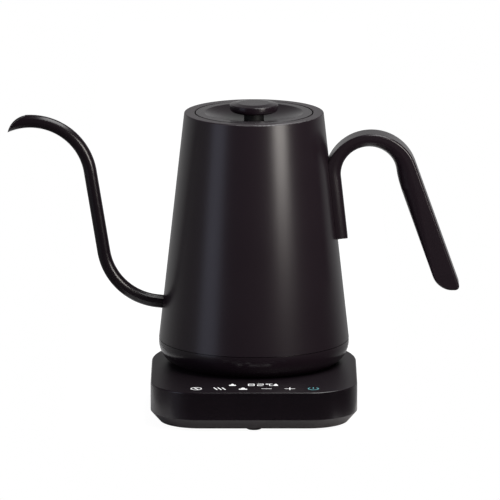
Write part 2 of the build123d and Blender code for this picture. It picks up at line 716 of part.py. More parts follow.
def vessel_shell():
    throat_r = LID_OPENING_R + SHELL_WALL
    ceiling = RIM - SHELL_WALL
    rim_edge = (BODY_TOP_R, RIM)
    mouth_edge = (LID_OPENING_R, RIM)
    corners = [(BODY_BOTTOM_R, SEAM), rim_edge, mouth_edge, (LID_OPENING_R, RIM - THROAT_DEPTH)]
    corners += [(throat_r, RIM - THROAT_DEPTH), (throat_r, ceiling)]
    corners += [(inner_radius(ceiling), ceiling), (inner_radius(SEAM), SEAM)]
    face = rounded(outline(*corners), [(rim_edge, RIM_EDGE_R), (mouth_edge, THROAT_EDGE_R)])
    path = spout_path()
    hole = Plane(origin=path @ 0, z_dir=path % 0) * Cylinder(
        SPOUT_ROOT_R + FIT, 2 * SPOUT_INSIDE + SPOUT_ROOT_RUN, align=UPRIGHT
    )
    return lathe(face) - hole


def spout_path():
    """Middle line of the spout: out of the wall, up through a bend, along the riser and over."""
    height = SEAM + SPOUT_RISE
    outwards = Vector(-cos(radians(WALL_TILT)), sin(radians(WALL_TILT)))
    root = Vector(-body_radius(height), height)
    run = Line(root - outwards * SPOUT_INSIDE, root + outwards * SPOUT_ROOT_RUN)
    bend = JernArc(run @ 1, run % 1, SPOUT_BEND_R, WALL_TILT + SPOUT_LEAN - 90)
    riser = Line(bend @ 1, bend @ 1 + (bend % 1) * SPOUT_RISER)
    spare = degrees(SPOUT_SPARE / SPOUT_TOP_R)
    top = JernArc(riser @ 1, riser % 1, SPOUT_TOP_R, 90 - SPOUT_LEAN + SPOUT_DROOP + spare)
    return Plane.XZ * Wire([run, bend, riser, top])


def spout_tube(inset):
    """Tapering round bar along the spout's path, drawn in by an inset."""
    path = spout_path()
    root = Plane(origin=path @ 0, z_dir=path % 0) * Circle(SPOUT_ROOT_R - inset)
    tip = Plane(origin=path @ 1, z_dir=path % 1) * Circle(SPOUT_TIP_R - inset)
    return sweep([root, tip], path=path, multisection=True)


def spout():
    tube_solid = spout_tube(0) - spout_tube(SPOUT_WALL)
    top_centre = spout_path().edges()[-1].arc_center
    lip_r = SPOUT_TOP_R - SPOUT_TIP_R
    lip_x = top_centre.X - lip_r * sin(radians(SPOUT_DROOP))
    lip_z = top_centre.Z + lip_r * cos(radians(SPOUT_DROOP))
    along = (cos(radians(SPOUT_CUT)), 0, sin(radians(SPOUT_CUT)))
    away = (-sin(radians(SPOUT_CUT)), 0, cos(radians(SPOUT_CUT)))
    bow_r = SPOUT_MOUTH**2 / (8 * SPOUT_BOW) + SPOUT_BOW / 2
    cutter = Box(SPOUT_TOP_R, SPOUT_TOP_R, SPOUT_TOP_R, align=UPRIGHT)
    cutter -= Pos(SPOUT_MOUTH / 2, 0, SPOUT_BOW - bow_r) * Rot(90, 0, 0) * Cylinder(bow_r, SPOUT_TOP_R)
    return tube_solid - Plane(origin=(lip_x, 0, lip_z), x_dir=along, z_dir=away) * cutter


def wall_plane(height):
    """Plane that touches the vessel's wall on the handle side: X across, Y up the wall, Z outwards."""
    outwards = (cos(radians(WALL_TILT)), 0, sin(radians(WALL_TILT)))
    return Plane(origin=(body_radius(height), 0, height), x_dir=(0, 1, 0), z_dir=outwards)


def wall_cone():
    """Solid room taken up by the vessel, with the fit that leaves the handle free of it."""
    corners = [(0, SEAM), (BODY_BOTTOM_R + FIT, SEAM), (BODY_TOP_R + FIT, RIM), (0, RIM)]
    return lathe(outline(*corners))


def pad(width, height, bottom, top):
    """Block on the wall plane between two distances from the wall."""
    return Pos(0, 0, bottom) * Box(width, height, top - bottom, align=UPRIGHT)


def handle_outlines():
    """Side views of the handle: the whole of it, and all the room that its hand side bounds.

    The leg runs along the wall, the hook goes over the top and the straight grip leans outwards."""
    out = Vector(cos(radians(WALL_TILT)), sin(radians(WALL_TILT)))
    leg_z = SEAM + LEG_END_RISE
    hook_z = SEAM + HOOK_RISE
    leg_end = Vector(body_radius(leg_z), leg_z)
    centre = Vector(body_radius(hook_z), hook_z) + out * (LEG_OFF + HOOK_IN_R)
    outer = centre + Vector(HOOK_SHIFT, HOOK_IN_R + HOOK - HOOK_OUT_R)
    side = Vector(cos(radians(GRIP_LEAN)), sin(radians(GRIP_LEAN)))
    down = Vector(sin(radians(GRIP_LEAN)), -cos(radians(GRIP_LEAN)))
    kink = Vector(cos(radians(GRIP_KINK)), sin(radians(GRIP_KINK)))
    kink_down = Vector(sin(radians(GRIP_KINK)), -cos(radians(GRIP_KINK)))
    outer_start = outer + side * HOOK_OUT_R
    inner_start = outer_start - side * GRIP
    blend_end = inner_start + down * GRIP_BLEND
    outer_end = outer_start + down * ((outer_start.Y - GRIP_END_Z) / -down.Y)
    inner_end = inner_start + down * ((inner_start.Y - GRIP_END_Z) / -down.Y)
    leg_face = leg_end + out * LEG_OFF
    leg_back = leg_end - out * LEG_OFF
    leg_top = centre - out * HOOK_IN_R
    leg = Line(leg_face, leg_top)
    hook = CenterArc(centre, HOOK_IN_R, 180 + WALL_TILT, GRIP_KINK - 180 - WALL_TILT)
    bow = Bezier(
        hook @ 1,
        centre + kink * HOOK_IN_R + kink_down * GRIP_EASE,
        blend_end - down * GRIP_EASE,
        blend_end,
    )
    grip = Polyline(blend_end, inner_end, outer_end, outer_start)
    crown = CenterArc(outer, HOOK_OUT_R, GRIP_LEAN, HOOK_END_ANGLE - GRIP_LEAN)
    close = Polyline(crown @ 1, leg_back, leg_face)
    whole = make_face([leg, hook, bow, grip, crown, close])
    reach = 2 * HOOK_OUT_R
    far_low = Vector(outer_end.X + reach, GRIP_END_Z)
    near_low = leg_end - out * reach
    top = centre.Y + reach
    far = [blend_end, inner_end, far_low, (far_low.X, top), (near_low.X, top), near_low, leg_face]
    room = make_face([leg, hook, bow, Polyline(*far)])
    inner_corner = (inner_end.X, inner_end.Y)
    outer_corner = (outer_end.X, outer_end.Y)
    whole = rounded(whole, [(inner_corner, GRIP_INNER_R), (outer_corner, GRIP_OUTER_R)])
    return whole, rounded(room, [(inner_corner, GRIP_INNER_R)])


def handle_screw_places():
    """Places of the handle's screws on the wall plane."""
    plane = wall_plane(SEAM + BRACKET_RISE)
    half = HANDLE_SCREW_SPACING / 2
    return [plane * Pos(0, half, 0), plane * Pos(0, -half, 0)]


def cover_floor():
    """Distance from the wall to the underside of the handle's cover strip."""
    return LEG_OFF - HANDLE_COVER


def screw_bearing():
    """Distance from the wall to the seat of the handle's screw heads."""
    return cover_floor() - FIT - HANDLE_SCREW_HEAD


def handle_grip():
    whole, room = handle_outlines()
    handle = extrude(Plane.XZ * whole, HANDLE_WIDTH / 2, both=True)
    rims = handle.edges().group_by(Axis.Y)
    handle = fillet(rims[0] + rims[-1], HANDLE_EDGE_R)
    soft = extrude(Plane.XZ * room, HANDLE_WIDTH / 2, both=True)
    hook_crown = Vector(body_radius(SEAM + HOOK_RISE) + LEG_OFF + HOOK_IN_R, 0, SEAM + HOOK_RISE + HOOK_IN_R)
    rims = soft.edges().group_by(Axis.Y)
    # The hand side is one smooth line, so rounding its stretch over the hook rounds all of it.
    hand_side = [rim.sort_by_distance(hook_crown)[0] for rim in (rims[0], rims[-1])]
    handle &= fillet(hand_side, HANDLE_SOFT_R)
    handle -= wall_cone()
    plane = wall_plane(SEAM + BRACKET_RISE)
    handle -= plane * pad(BRACKET_WIDTH + 2 * FIT, BRACKET_HEIGHT + 2 * FIT, -BRACKET, BRACKET + FIT)
    strip = pad(HANDLE_COVER_WIDTH + 2 * FIT, HANDLE_COVER_HEIGHT + 2 * FIT, cover_floor(), LEG_OFF)
    handle -= plane * strip
    for place in handle_screw_places():
        handle -= place * rod(HANDLE_SCREW_R + FIT, 0, LEG_OFF)
        handle -= place * rod(HANDLE_SCREW_HEAD_R + FIT, screw_bearing(), LEG_OFF)
    return handle


def handle_bracket():
    strap = wall_plane(SEAM + BRACKET_RISE) * pad(BRACKET_WIDTH, BRACKET_HEIGHT, -BRACKET, BRACKET)
    strap -= wall_cone()
    for place in handle_screw_places():
        strap -= place * rod(HANDLE_SCREW_R + FIT, -BRACKET, BRACKET)
    return strap


def handle_screws():
    head_top = screw_bearing() + HANDLE_SCREW_HEAD
    one = rod(HANDLE_SCREW_R, 2 * FIT, screw_bearing()) + rod(
        HANDLE_SCREW_HEAD_R, screw_bearing(), head_top
    )
    return group(place * one for place in handle_screw_places())


def handle_cover():
    plane = wall_plane(SEAM + BRACKET_RISE)
    return plane * pad(HANDLE_COVER_WIDTH, HANDLE_COVER_HEIGHT, cover_floor(), LEG_OFF)


def lid_cover():
    hole_r = KNOB_SCREW_R + FIT
    ceiling = RIM - LID_WALL
    under_r = DISH_SPHERE_R + LID_WALL
    sphere_z = RIM - DISH_DEPTH + DISH_SPHERE_R
    under_end = sqrt(under_r**2 - (sphere_z - ceiling) ** 2)
    under_hole = (hole_r, sphere_z - sqrt(under_r**2 - hole_r**2))
    under_mid = (DISH_R / 2, sphere_z - sqrt(under_r**2 - (DISH_R / 2) ** 2))
    dish = ThreePointArc(
        (hole_r, dish_height(hole_r)), (DISH_R / 2, dish_height(DISH_R / 2)), (DISH_R, RIM)
    )
    under = ThreePointArc((under_end, ceiling), under_mid, under_hole)
    edge = (LID_R, RIM)
    skirt_in = LID_R - LID_WALL
    corners = [(DISH_R, RIM), edge, (LID_R, RIM - LID_SKIRT), (skirt_in, RIM - LID_SKIRT)]
    rim = Polyline(*corners, (skirt_in, ceiling), (under_end, ceiling))
    face = make_face([dish, rim, under, Line(under @ 1, dish @ 0)])
    cover = lathe(rounded(face, [(edge, LID_EDGE_R)]))
    for angle in VENT_ANGLES:
        cover -= polar(VENT_CIRCLE, angle) * rod(VENT_R, ceiling - DISH_DEPTH, RIM)
    return cover


def lid_plug():
    outer = LID_R - LID_WALL - FIT
    bottom = RIM - LID_DEPTH
    cup = rod(outer, bottom, RIM - LID_WALL)
    cup -= rod(outer - LID_PLUG_WALL, bottom + LID_PLUG_WALL, RIM - LID_WALL)
    for angle in VENT_ANGLES:
        cup -= polar(VENT_CIRCLE, angle) * rod(VENT_R, bottom, bottom + LID_PLUG_WALL)
    return cup


def lid_seal():
    inner = LID_R - LID_WALL
    top = RIM - LID_SKIRT
    bottom = top - SEAL_HEIGHT
    waist = top - SEAL_HEIGHT / 2
    corners = [(inner, bottom), (SEAL_R, bottom), (inner + LID_PLUG_WALL, waist), (SEAL_R, top)]
    return lathe(outline(*corners, (inner, top)))


def knob_stem():
    return tube(STEM_R, KNOB_SCREW_R + FIT, dish_height(STEM_R), KNOB_BOTTOM)


def lid_knob():
    side_top = KNOB_BOTTOM + KNOB_SIDE
    top = KNOB_BOTTOM + KNOB_HEIGHT
    low = (KNOB_R, KNOB_BOTTOM)
    shoulder = (KNOB_R, side_top)
    brow = (KNOB_TOP_R, top)
    face = outline((0, KNOB_BOTTOM), low, shoulder, brow, (0, top))
    rounds = [(low, KNOB_UNDER_R), (shoulder, KNOB_EDGE_R), (brow, KNOB_EDGE_R)]
    knob = lathe(rounded(face, rounds))
    return knob - rod(KNOB_SCREW_R + FIT, KNOB_BOTTOM, KNOB_BOTTOM + KNOB_SCREW_GRIP + FIT)


def knob_screw():
    bearing = RIM - DISH_DEPTH - LID_WALL
    tip = KNOB_BOTTOM + KNOB_SCREW_GRIP
    return screw(KNOB_SCREW_R, KNOB_SCREW_HEAD_R, KNOB_SCREW_HEAD, bearing, tip)


PIECES = [
    base_housing, base_tray, feet, base_screws,
    base_connector, base_contacts, connector_screws,
    control_board, light_guide, display_module, touch_pads,
    power_board, power_relay, filter_capacitor, buzzer, base_leads, ribbon_cable, cord_gland,
    plug_housing, plug_pin, plug_ring,
    plug_carrier, carrier_screws, bottom_cover, bottom_screws,
    element_plate, heat_spreader, heating_element, temperature_sensor, thermal_cutouts,
    heater_leads,
    vessel_shell, spout,
    handle_grip, handle_bracket, handle_screws, handle_cover,
    lid_cover, lid_plug, lid_seal, knob_stem, lid_knob, knob_screw,
]


def main():
    shapes = {piece.__name__: piece() for piece in PIECES}
    boxes = [shape.bounding_box() for shape in shapes.values()]
    middle_x = (min(box.min.X for box in boxes) + max(box.max.X for box in boxes)) / 2
    middle_y = (min(box.min.Y for box in boxes) + max(box.max.Y for box in boxes)) / 2
    os.makedirs("parts", exist_ok=True)
    for name, shape in shapes.items():
        export_step(Pos(-middle_x, -middle_y, 0) * shape, f"parts/{name}.step")


main()
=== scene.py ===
"""Looks of a gooseneck electric kettle on a touch-control power base.

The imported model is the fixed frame. Blender works in metres, and sizes named here are in millimetres,
measured from the kettle's axis and the standing surface. The spout points to -X, the handle to +X and
the touch keys to -Y.
"""
import json
from math import atan, atan2, cos, degrees, pi, radians, sin, tan

import bmesh
import bpy
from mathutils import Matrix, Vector
from mathutils.geometry import interpolate_bezier


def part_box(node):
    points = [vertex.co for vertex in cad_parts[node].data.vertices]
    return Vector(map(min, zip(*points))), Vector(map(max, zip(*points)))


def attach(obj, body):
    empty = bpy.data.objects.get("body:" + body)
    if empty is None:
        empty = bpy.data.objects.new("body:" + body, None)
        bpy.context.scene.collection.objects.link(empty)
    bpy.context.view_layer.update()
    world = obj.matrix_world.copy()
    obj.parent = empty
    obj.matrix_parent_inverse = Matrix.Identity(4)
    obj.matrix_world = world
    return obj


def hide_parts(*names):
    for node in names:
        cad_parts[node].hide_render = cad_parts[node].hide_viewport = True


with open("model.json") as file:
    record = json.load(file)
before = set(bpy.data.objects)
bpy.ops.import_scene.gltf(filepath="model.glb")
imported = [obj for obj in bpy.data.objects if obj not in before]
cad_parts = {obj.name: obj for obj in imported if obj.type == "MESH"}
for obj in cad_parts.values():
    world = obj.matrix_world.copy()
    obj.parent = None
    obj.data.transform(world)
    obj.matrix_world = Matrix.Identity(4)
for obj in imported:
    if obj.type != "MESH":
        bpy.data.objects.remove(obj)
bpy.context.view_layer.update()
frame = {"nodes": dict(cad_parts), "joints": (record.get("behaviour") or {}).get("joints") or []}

MM = 0.001
SWIVEL = next(joint for joint in frame["joints"] if joint["name"] == "kettle_swivel")
AXIS = Vector((SWIVEL["pos_m"][0], SWIVEL["pos_m"][1], 0.0)) / MM
BASE_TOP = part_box("base_housing")[1].z / MM
BASE_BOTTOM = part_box("base_tray")[0].z / MM
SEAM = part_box("vessel_shell")[0].z / MM
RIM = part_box("vessel_shell")[1].z / MM

# Photograph's view
VIEW_ELEVATION = 12.0
VIEW_DISTANCE = 5000.0
VIEW_WIDTH = 330.0  # what the picture takes in, at the kettle's axis
VIEW_LEFT_OF_AXIS = 2.6
VIEW_HEIGHT = 101.5  # height on the axis that is in the middle of the picture
SENSOR = 36.0

# Surroundings, as shares of white
AMBIENT = 0.2  # as matt surfaces take their light
ROOM_FRONT = 0.07  # as glossy surfaces mirror them, in front and at the sides
ROOM_BEHIND = 0.56  # the same, straight behind
ROOM_LEFT = 0.15  # added on the far left
ROOM_ABOVE_SHARE = 0.25  # share of the room's light that is left overhead
ROOM_BELOW_SHARE = 0.6  # the same, below

# Floor
FLOOR_LEFT = -125.0
FLOOR_RIGHT = 95.0
FLOOR_FRONT = -112.0
FLOOR_BACK = 1400.0
FLOOR_GLOW = 1.2
FLOOR_GLOW_SHARE = 0.8

# Meshes
FIT = 0.1  # gap between pieces, and the reach within which points count as in one place
MERGE = 0.002
SMOOTH_BELOW = 35.0  # edges turn smooth below this angle
FACING = 0.99  # upright share of a face's normal that counts as facing straight up or down
WAVE_BAND = pi / 10  # length of one band of Blender's wave texture at scale 1

# Vessel's wall
BODY_BOTTOM_R = 62.8
BODY_TOP_R = 45.9
SHELL_WALL = 0.8
WALL_TILT = degrees(atan((BODY_BOTTOM_R - BODY_TOP_R) / (RIM - SEAM)))
LINING_BELOW_RIM = 0.5  # where the bare steel starts, below the rim

# Handle
HANDLE_WIDTH = 19.6
HANDLE_CRISP_R = 1.5  # edge on the outer side
HANDLE_SOFT_SHARE = 0.67  # edge on the hand's side, as a share of the depth below the outer side
HANDLE_LEG_R = 6.0
LEG_OFF = 6.6  # hand side of the leg from the vessel's wall
LEG_END_RISE = 66.9  # end of the leg above the seam
HOOK_RISE = 107.6  # start of the hook above the seam
HOOK_IN_R = 18.4
HOOK_OUT_R = 30.9
HOOK_IN_STEPS = 40
HOOK_OUT_STEPS = 56
HOOK = 9.0  # thickness at the top of the hook
HOOK_SHIFT = 1.7  # middle of the outer arc beyond that of the inner arc
HOOK_END_ANGLE = 192.0  # where the outer arc ends, within the wall
GRIP = 14.6
GRIP_LEAN = 19.7
GRIP_KINK = 8.0  # lean of the inner side where the hook ends
GRIP_BLEND = 14.0  # length over which the inner side bows into the grip's lean
GRIP_BLEND_POINTS = 9
GRIP_EASE = 5.0  # how far the bow keeps to the direction of its ends
GRIP_END_Z = 76.1
GRIP_INNER_R = 13.0
GRIP_OUTER_R = 3.0
STRIP_RISE = 89.0  # middle of the strip over the handle's screws, above the seam
STRIP = 1.2
STRIP_WIDTH = 7.0
STRIP_HEIGHT = 32.0

# Lit marks on the base's top
FILM = 0.06
FILM_SUNK = 0.02
FILM_UNEVEN = 0.15  # share by which its light rises and falls
STROKE = 0.6
THICK_STROKE = 0.8
STROKE_CORNER = 0.35  # rounding of a stroke's corners, as a share of its width
KEYS = 6
KEY_PITCH = 15.25
KEY_ROW_X = 0.5  # middle of the row of keys
KEY_ROW_Y = -86.1
BEAN_R = 3.7
BEAN_CREASE = 5.2
BEAN_TURN = 118.0
STEAM = 6.8
STEAM_PITCH = 2.7
STEAM_TURN = 110.0
MINUS = 6.8
PLUS = 7.0
POWER_R = 3.6
POWER_GAP = 70.0
POWER_BAR = 3.4
POWER_BAR_SHIFT = 2.0
POT_DEPTH = 5.2
POT_BODY = 0.4  # body, slanted shoulder and lid, as shares of the depth
POT_SHOULDER = 0.1
POT_LID = 0.5
POT_LID_TOP = 0.5  # far edge of the lid, as a share of its near edge
DISPLAY_Y = -75.0
DIGIT_WIDTH = 4.3
DIGIT_DEPTH = 5.8
DIGIT_PLACES = (-1.75, 4.2)
SEGMENT_GAP = 0.2
DEGREE_X = 8.6
DEGREE_R = 1.0
UNIT_X = 10.2
UNIT_WIDTH = 2.0
LEFT_POT_X = -14.0
RIGHT_POT_X = 14.2

# Feet
FOOT_R = 5.0
FOOT_RECESS = 1.0
FOOT_EDGE_R = 0.8
FOOT_BAND = 0.8  # each of the two level bands round the hollow below
FOOT_HOLLOW = 0.4
FOOT_HOLLOW_SLOPE = 0.15
FOOT_SPOTS = ((0.0, -82.6), (52.0, 0.0), (0.0, 52.0), (-52.0, 0.0))

# Screws below the base and below the kettle
BASE_SCREW_R = 1.5
BASE_SCREW_HEAD_R = 2.8
BASE_SCREW_HEAD = 1.8
BASE_SCREW_SPOTS = ((53.6, -65.8), (-53.6, -65.8), (41.06, 34.45), (-41.06, 34.45))
COVER_SCREW_R = 1.4
COVER_SCREW_HEAD_R = 2.4
COVER_SCREW_HEAD = 1.6
COVER_SCREW_SPOTS = ((24.25, 42.0), (-48.5, 0.0), (24.25, -42.0))
SCREW_POINT = 0.7  # narrowing of the shank's tip, as a share of its radius
SCREW_DOME = 1 / 3  # rounding of the head, as a share of its height
CROSS_LENGTH = 1.25  # length and width of the recess, as shares of the head's radius
CROSS_WIDTH = 0.32
CROSS_CUT = 1.3  # height of the cutter, half of it in the head, as a share of the head's height


def linear(code):
    """Linear colour, with full alpha, from an sRGB hex value."""
    levels = [int(code[place:place + 2], 16) / 255 for place in (1, 3, 5)]
    return [v / 12.92 if v <= 0.04045 else ((v + 0.055) / 1.055) ** 2.4 for v in levels] + [1.0]


def spot(x, y, z):
    """Point measured from the kettle's axis and the standing surface, in the scene's metres."""
    return (AXIS + Vector((x, y, z))) * MM


def fill_inputs(tree, node, inputs):
    """Fills a node's inputs. Each takes a plain value or another node's output."""
    for name, value in inputs.items():
        if isinstance(value, bpy.types.NodeSocket):
            tree.links.new(value, node.inputs[name])
        else:
            node.inputs[name].default_value = value


def add_node(tree, kind, inputs=None, **settings):
    """Adds one node with its settings and inputs."""
    node = tree.nodes.new(kind)
    for name, value in settings.items():
        setattr(node, name, value)
    fill_inputs(tree, node, inputs or {})
    return node


def new_material(name):
    """A material with its node tree, its shader and its coordinates, which start on the kettle's axis."""
    material = bpy.data.materials.new(name)
    material.use_nodes = True
    tree = material.node_tree
    object_place = add_node(tree, "ShaderNodeTexCoord").outputs["Object"]
    place = add_node(tree, "ShaderNodeMapping", {"Vector": object_place, "Location": -AXIS * MM})
    return material, tree, tree.nodes["Principled BSDF"], place.outputs["Vector"]


def per_mm(size):
    """Texture scale whose pattern repeats about once in that many millimetres."""
    return 1 / (size * MM)


def powder_coated_steel(name, smoothest, roughest, waviness):
    """Powder coat baked on steel: satin black with the faint waviness of melted powder. The vessel's
    inside is the steel itself, brushed round, which gives a bright lining with fine level lines."""
    material, tree, shader, place = new_material(name)
    parts = add_node(tree, "ShaderNodeSeparateXYZ", {"Vector": place})
    flat = add_node(
        tree, "ShaderNodeVectorMath", {0: place, 1: (1.0, 1.0, 0.0)}, operation="MULTIPLY"
    )
    radius = add_node(
        tree, "ShaderNodeVectorMath", {0: flat.outputs["Vector"]}, operation="LENGTH"
    )
    wall_middle = add_node(tree, "ShaderNodeMapRange", {
        "Value": parts.outputs["Z"], "From Min": SEAM * MM, "From Max": RIM * MM,
        "To Min": (BODY_BOTTOM_R - SHELL_WALL / 2) * MM, "To Max": (BODY_TOP_R - SHELL_WALL / 2) * MM,
    })
    within = add_node(
        tree, "ShaderNodeMath",
        {0: radius.outputs["Value"], 1: wall_middle.outputs["Result"]}, operation="LESS_THAN",
    )
    below_rim = add_node(
        tree, "ShaderNodeMath",
        {0: parts.outputs["Z"], 1: (RIM - LINING_BELOW_RIM) * MM}, operation="LESS_THAN",
    )
    lining = add_node(
        tree, "ShaderNodeMath",
        {0: within.outputs["Value"], 1: below_rim.outputs["Value"]}, operation="MULTIPLY",
    )
    # The powder's waves are drawn about twice as coarse as they are, to show at all.
    wave = add_node(tree, "ShaderNodeTexNoise", {"Vector": place, "Scale": per_mm(2.5), "Detail": 2.0})
    cloud = add_node(tree, "ShaderNodeTexNoise", {"Vector": place, "Scale": per_mm(40.0), "Detail": 2.0})
    # The brush lines run level and are fifty times as long as they are high.
    stretched = add_node(
        tree, "ShaderNodeVectorMath", {0: place, 1: (0.02, 0.02, 1.0)}, operation="MULTIPLY"
    )
    brush = add_node(
        tree, "ShaderNodeTexNoise",
        {"Vector": stretched.outputs["Vector"], "Scale": per_mm(0.6), "Detail": 4.0},
    )
    paint_colour = add_node(
        tree, "ShaderNodeMix",
        {"Factor": cloud.outputs["Fac"], "A": linear("#181016"), "B": linear("#1c141a")},
        data_type="RGBA",
    )
    steel_colour = add_node(
        tree, "ShaderNodeMix",
        {"Factor": brush.outputs["Fac"], "A": linear("#a9a7a4"), "B": linear("#cfcdca")},
        data_type="RGBA",
    )
    colour = add_node(
        tree, "ShaderNodeMix",
        {"Factor": lining.outputs["Value"], "A": paint_colour.outputs["Result"],
         "B": steel_colour.outputs["Result"]},
        data_type="RGBA",
    )
    paint_rough = add_node(
        tree, "ShaderNodeMapRange",
        {"Value": cloud.outputs["Fac"], "To Min": smoothest, "To Max": roughest},
    )
    steel_rough = add_node(
        tree, "ShaderNodeMapRange", {"Value": brush.outputs["Fac"], "To Min": 0.22, "To Max": 0.4}
    )
    rough = add_node(tree, "ShaderNodeMix", {
        "Factor": lining.outputs["Value"], "A": paint_rough.outputs["Result"],
        "B": steel_rough.outputs["Result"],
    })
    bump = add_node(
        tree, "ShaderNodeBump",
        {"Height": wave.outputs["Fac"], "Strength": waviness, "Distance": 0.01 * MM},
    )
    fill_inputs(tree, shader, {
        "Base Color": colour.outputs["Result"],
        "Metallic": lining.outputs["Value"],
        "Roughness": rough.outputs["Result"],
        "Normal": bump.outputs["Normal"],
        "IOR": 1.5,
    })
    return material


def moulded_abs(name, smoothest, roughest, top_roughness=0.0):
    """Moulded ABS from a spark-eroded tool: satin black, with a fine even grain. A base's top can be
    more matt than its sides, so that it doesn't show finger marks."""
    material, tree, shader, place = new_material(name)
    # The grain is drawn about four times as coarse as it is, to show in the render.
    grain = add_node(tree, "ShaderNodeTexNoise", {"Vector": place, "Scale": per_mm(0.8), "Detail": 3.0})
    cloud = add_node(tree, "ShaderNodeTexNoise", {"Vector": place, "Scale": per_mm(25.0), "Detail": 2.0})
    colour = add_node(
        tree, "ShaderNodeMix",
        {"Factor": cloud.outputs["Fac"], "A": linear("#1c131a"), "B": linear("#20171e")},
        data_type="RGBA",
    )
    rough = add_node(
        tree, "ShaderNodeMapRange",
        {"Value": grain.outputs["Fac"], "To Min": smoothest, "To Max": roughest},
    )
    parts = add_node(tree, "ShaderNodeSeparateXYZ", {"Vector": place})
    level = add_node(
        tree, "ShaderNodeMath",
        {0: parts.outputs["Z"], 1: BASE_TOP * MM, 2: FIT * MM}, operation="COMPARE",
    )
    extra = add_node(
        tree, "ShaderNodeMath",
        {0: level.outputs["Value"], 1: top_roughness, 2: rough.outputs["Result"]},
        operation="MULTIPLY_ADD",
    )
    bump = add_node(
        tree, "ShaderNodeBump", {"Height": grain.outputs["Fac"], "Strength": 0.12, "Distance": 0.02 * MM}
    )
    fill_inputs(tree, shader, {
        "Base Color": colour.outputs["Result"],
        "Roughness": extra.outputs["Value"],
        "Normal": bump.outputs["Normal"],
        "IOR": 1.5,
    })
    return material


def etched_abs():
    """Moulded ABS from an etched tool, as on the base's lower edge: paler and more matt."""
    material, tree, shader, place = new_material("etched_abs")
    grain = add_node(
        tree, "ShaderNodeTexVoronoi", {"Vector": place, "Scale": per_mm(0.9)}, feature="SMOOTH_F1"
    )
    cloud = add_node(tree, "ShaderNodeTexNoise", {"Vector": place, "Scale": per_mm(30.0), "Detail": 2.0})
    colour = add_node(
        tree, "ShaderNodeMix",
        {"Factor": cloud.outputs["Fac"], "A": linear("#211b1f"), "B": linear("#272125")},
        data_type="RGBA",
    )
    rough = add_node(
        tree, "ShaderNodeMapRange", {"Value": grain.outputs["Distance"], "To Min": 0.42, "To Max": 0.55}
    )
    bump = add_node(
        tree, "ShaderNodeBump",
        {"Height": grain.outputs["Distance"], "Strength": 0.15, "Distance": 0.02 * MM},
    )
    fill_inputs(tree, shader, {
        "Base Color": colour.outputs["Result"],
        "Roughness": rough.outputs["Result"],
        "Normal": bump.outputs["Normal"],
        "IOR": 1.5,
    })
    return material


def moulded_rubber():
    """Compression-moulded rubber: matt black that holds a little pale dust in its pores."""
    material, tree, shader, place = new_material("moulded_rubber")
    pores = add_node(tree, "ShaderNodeTexNoise", {"Vector": place, "Scale": per_mm(0.5), "Detail": 4.0})
    dust = add_node(tree, "ShaderNodeTexNoise", {"Vector": place, "Scale": per_mm(6.0), "Detail": 5.0})
    dusty = add_node(
        tree, "ShaderNodeMapRange", {"Value": dust.outputs["Fac"], "From Min": 0.5, "From Max": 0.8}
    )
    colour = add_node(
        tree, "ShaderNodeMix",
        {"Factor": dusty.outputs["Result"], "A": linear("#171717"), "B": linear("#2a2928")},
        data_type="RGBA",
    )
    bump = add_node(
        tree, "ShaderNodeBump", {"Height": pores.outputs["Fac"], "Strength": 0.3, "Distance": 0.05 * MM}
    )
    rough = add_node(
        tree, "ShaderNodeMapRange", {"Value": pores.outputs["Fac"], "To Min": 0.75, "To Max": 0.9}
    )
    fill_inputs(tree, shader, {
        "Base Color": colour.outputs["Result"],
        "Roughness": rough.outputs["Result"],
        "Normal": bump.outputs["Normal"],
        "IOR": 1.52,
    })
    return material


def moulded_silicone():
    """Moulded silicone: smoky grey, soft to the light, with a dry sheen."""
    material, tree, shader, place = new_material("moulded_silicone")
    cloud = add_node(tree, "ShaderNodeTexNoise", {"Vector": place, "Scale": per_mm(8.0), "Detail": 3.0})
    colour = add_node(
        tree, "ShaderNodeMix",
        {"Factor": cloud.outputs["Fac"], "A": linear("#75767a"), "B": linear("#85868a")},
        data_type="RGBA",
    )
    rough = add_node(
        tree, "ShaderNodeMapRange", {"Value": cloud.outputs["Fac"], "To Min": 0.5, "To Max": 0.65}
    )
    fill_inputs(tree, shader, {
        "Base Color": colour.outputs["Result"],
        "Roughness": rough.outputs["Result"],
        "IOR": 1.41,
        "Sheen Weight": 0.2,
    })
    return material


def brushed_stainless():
    """Stainless sheet brushed on a turning table: rings of fine scratches round the kettle's axis."""
    material, tree, shader, place = new_material("brushed_stainless")
    parts = add_node(tree, "ShaderNodeSeparateXYZ", {"Vector": place})
    flat = add_node(
        tree, "ShaderNodeVectorMath", {0: place, 1: (1.0, 1.0, 0.0)}, operation="MULTIPLY"
    )
    radius = add_node(
        tree, "ShaderNodeVectorMath", {0: flat.outputs["Vector"]}, operation="LENGTH"
    )
    turned = add_node(
        tree, "ShaderNodeCombineXYZ", {"X": radius.outputs["Value"], "Z": parts.outputs["Z"]}
    )
    brush = add_node(
        tree, "ShaderNodeTexNoise",
        {"Vector": turned.outputs["Vector"], "Scale": per_mm(0.5), "Detail": 4.0},
    )
    colour = add_node(
        tree, "ShaderNodeMix",
        {"Factor": brush.outputs["Fac"], "A": linear("#a5a3a0"), "B": linear("#d0cecb")},
        data_type="RGBA",
    )
    rough = add_node(
        tree, "ShaderNodeMapRange", {"Value": brush.outputs["Fac"], "To Min": 0.2, "To Max": 0.42}
    )
    bump = add_node(
        tree, "ShaderNodeBump", {"Height": brush.outputs["Fac"], "Strength": 0.1, "Distance": 0.01 * MM}
    )
    fill_inputs(tree, shader, {
        "Base Color": colour.outputs["Result"],
        "Metallic": 1.0,
        "Roughness": rough.outputs["Result"],
        "Normal": bump.outputs["Normal"],
    })
    return material


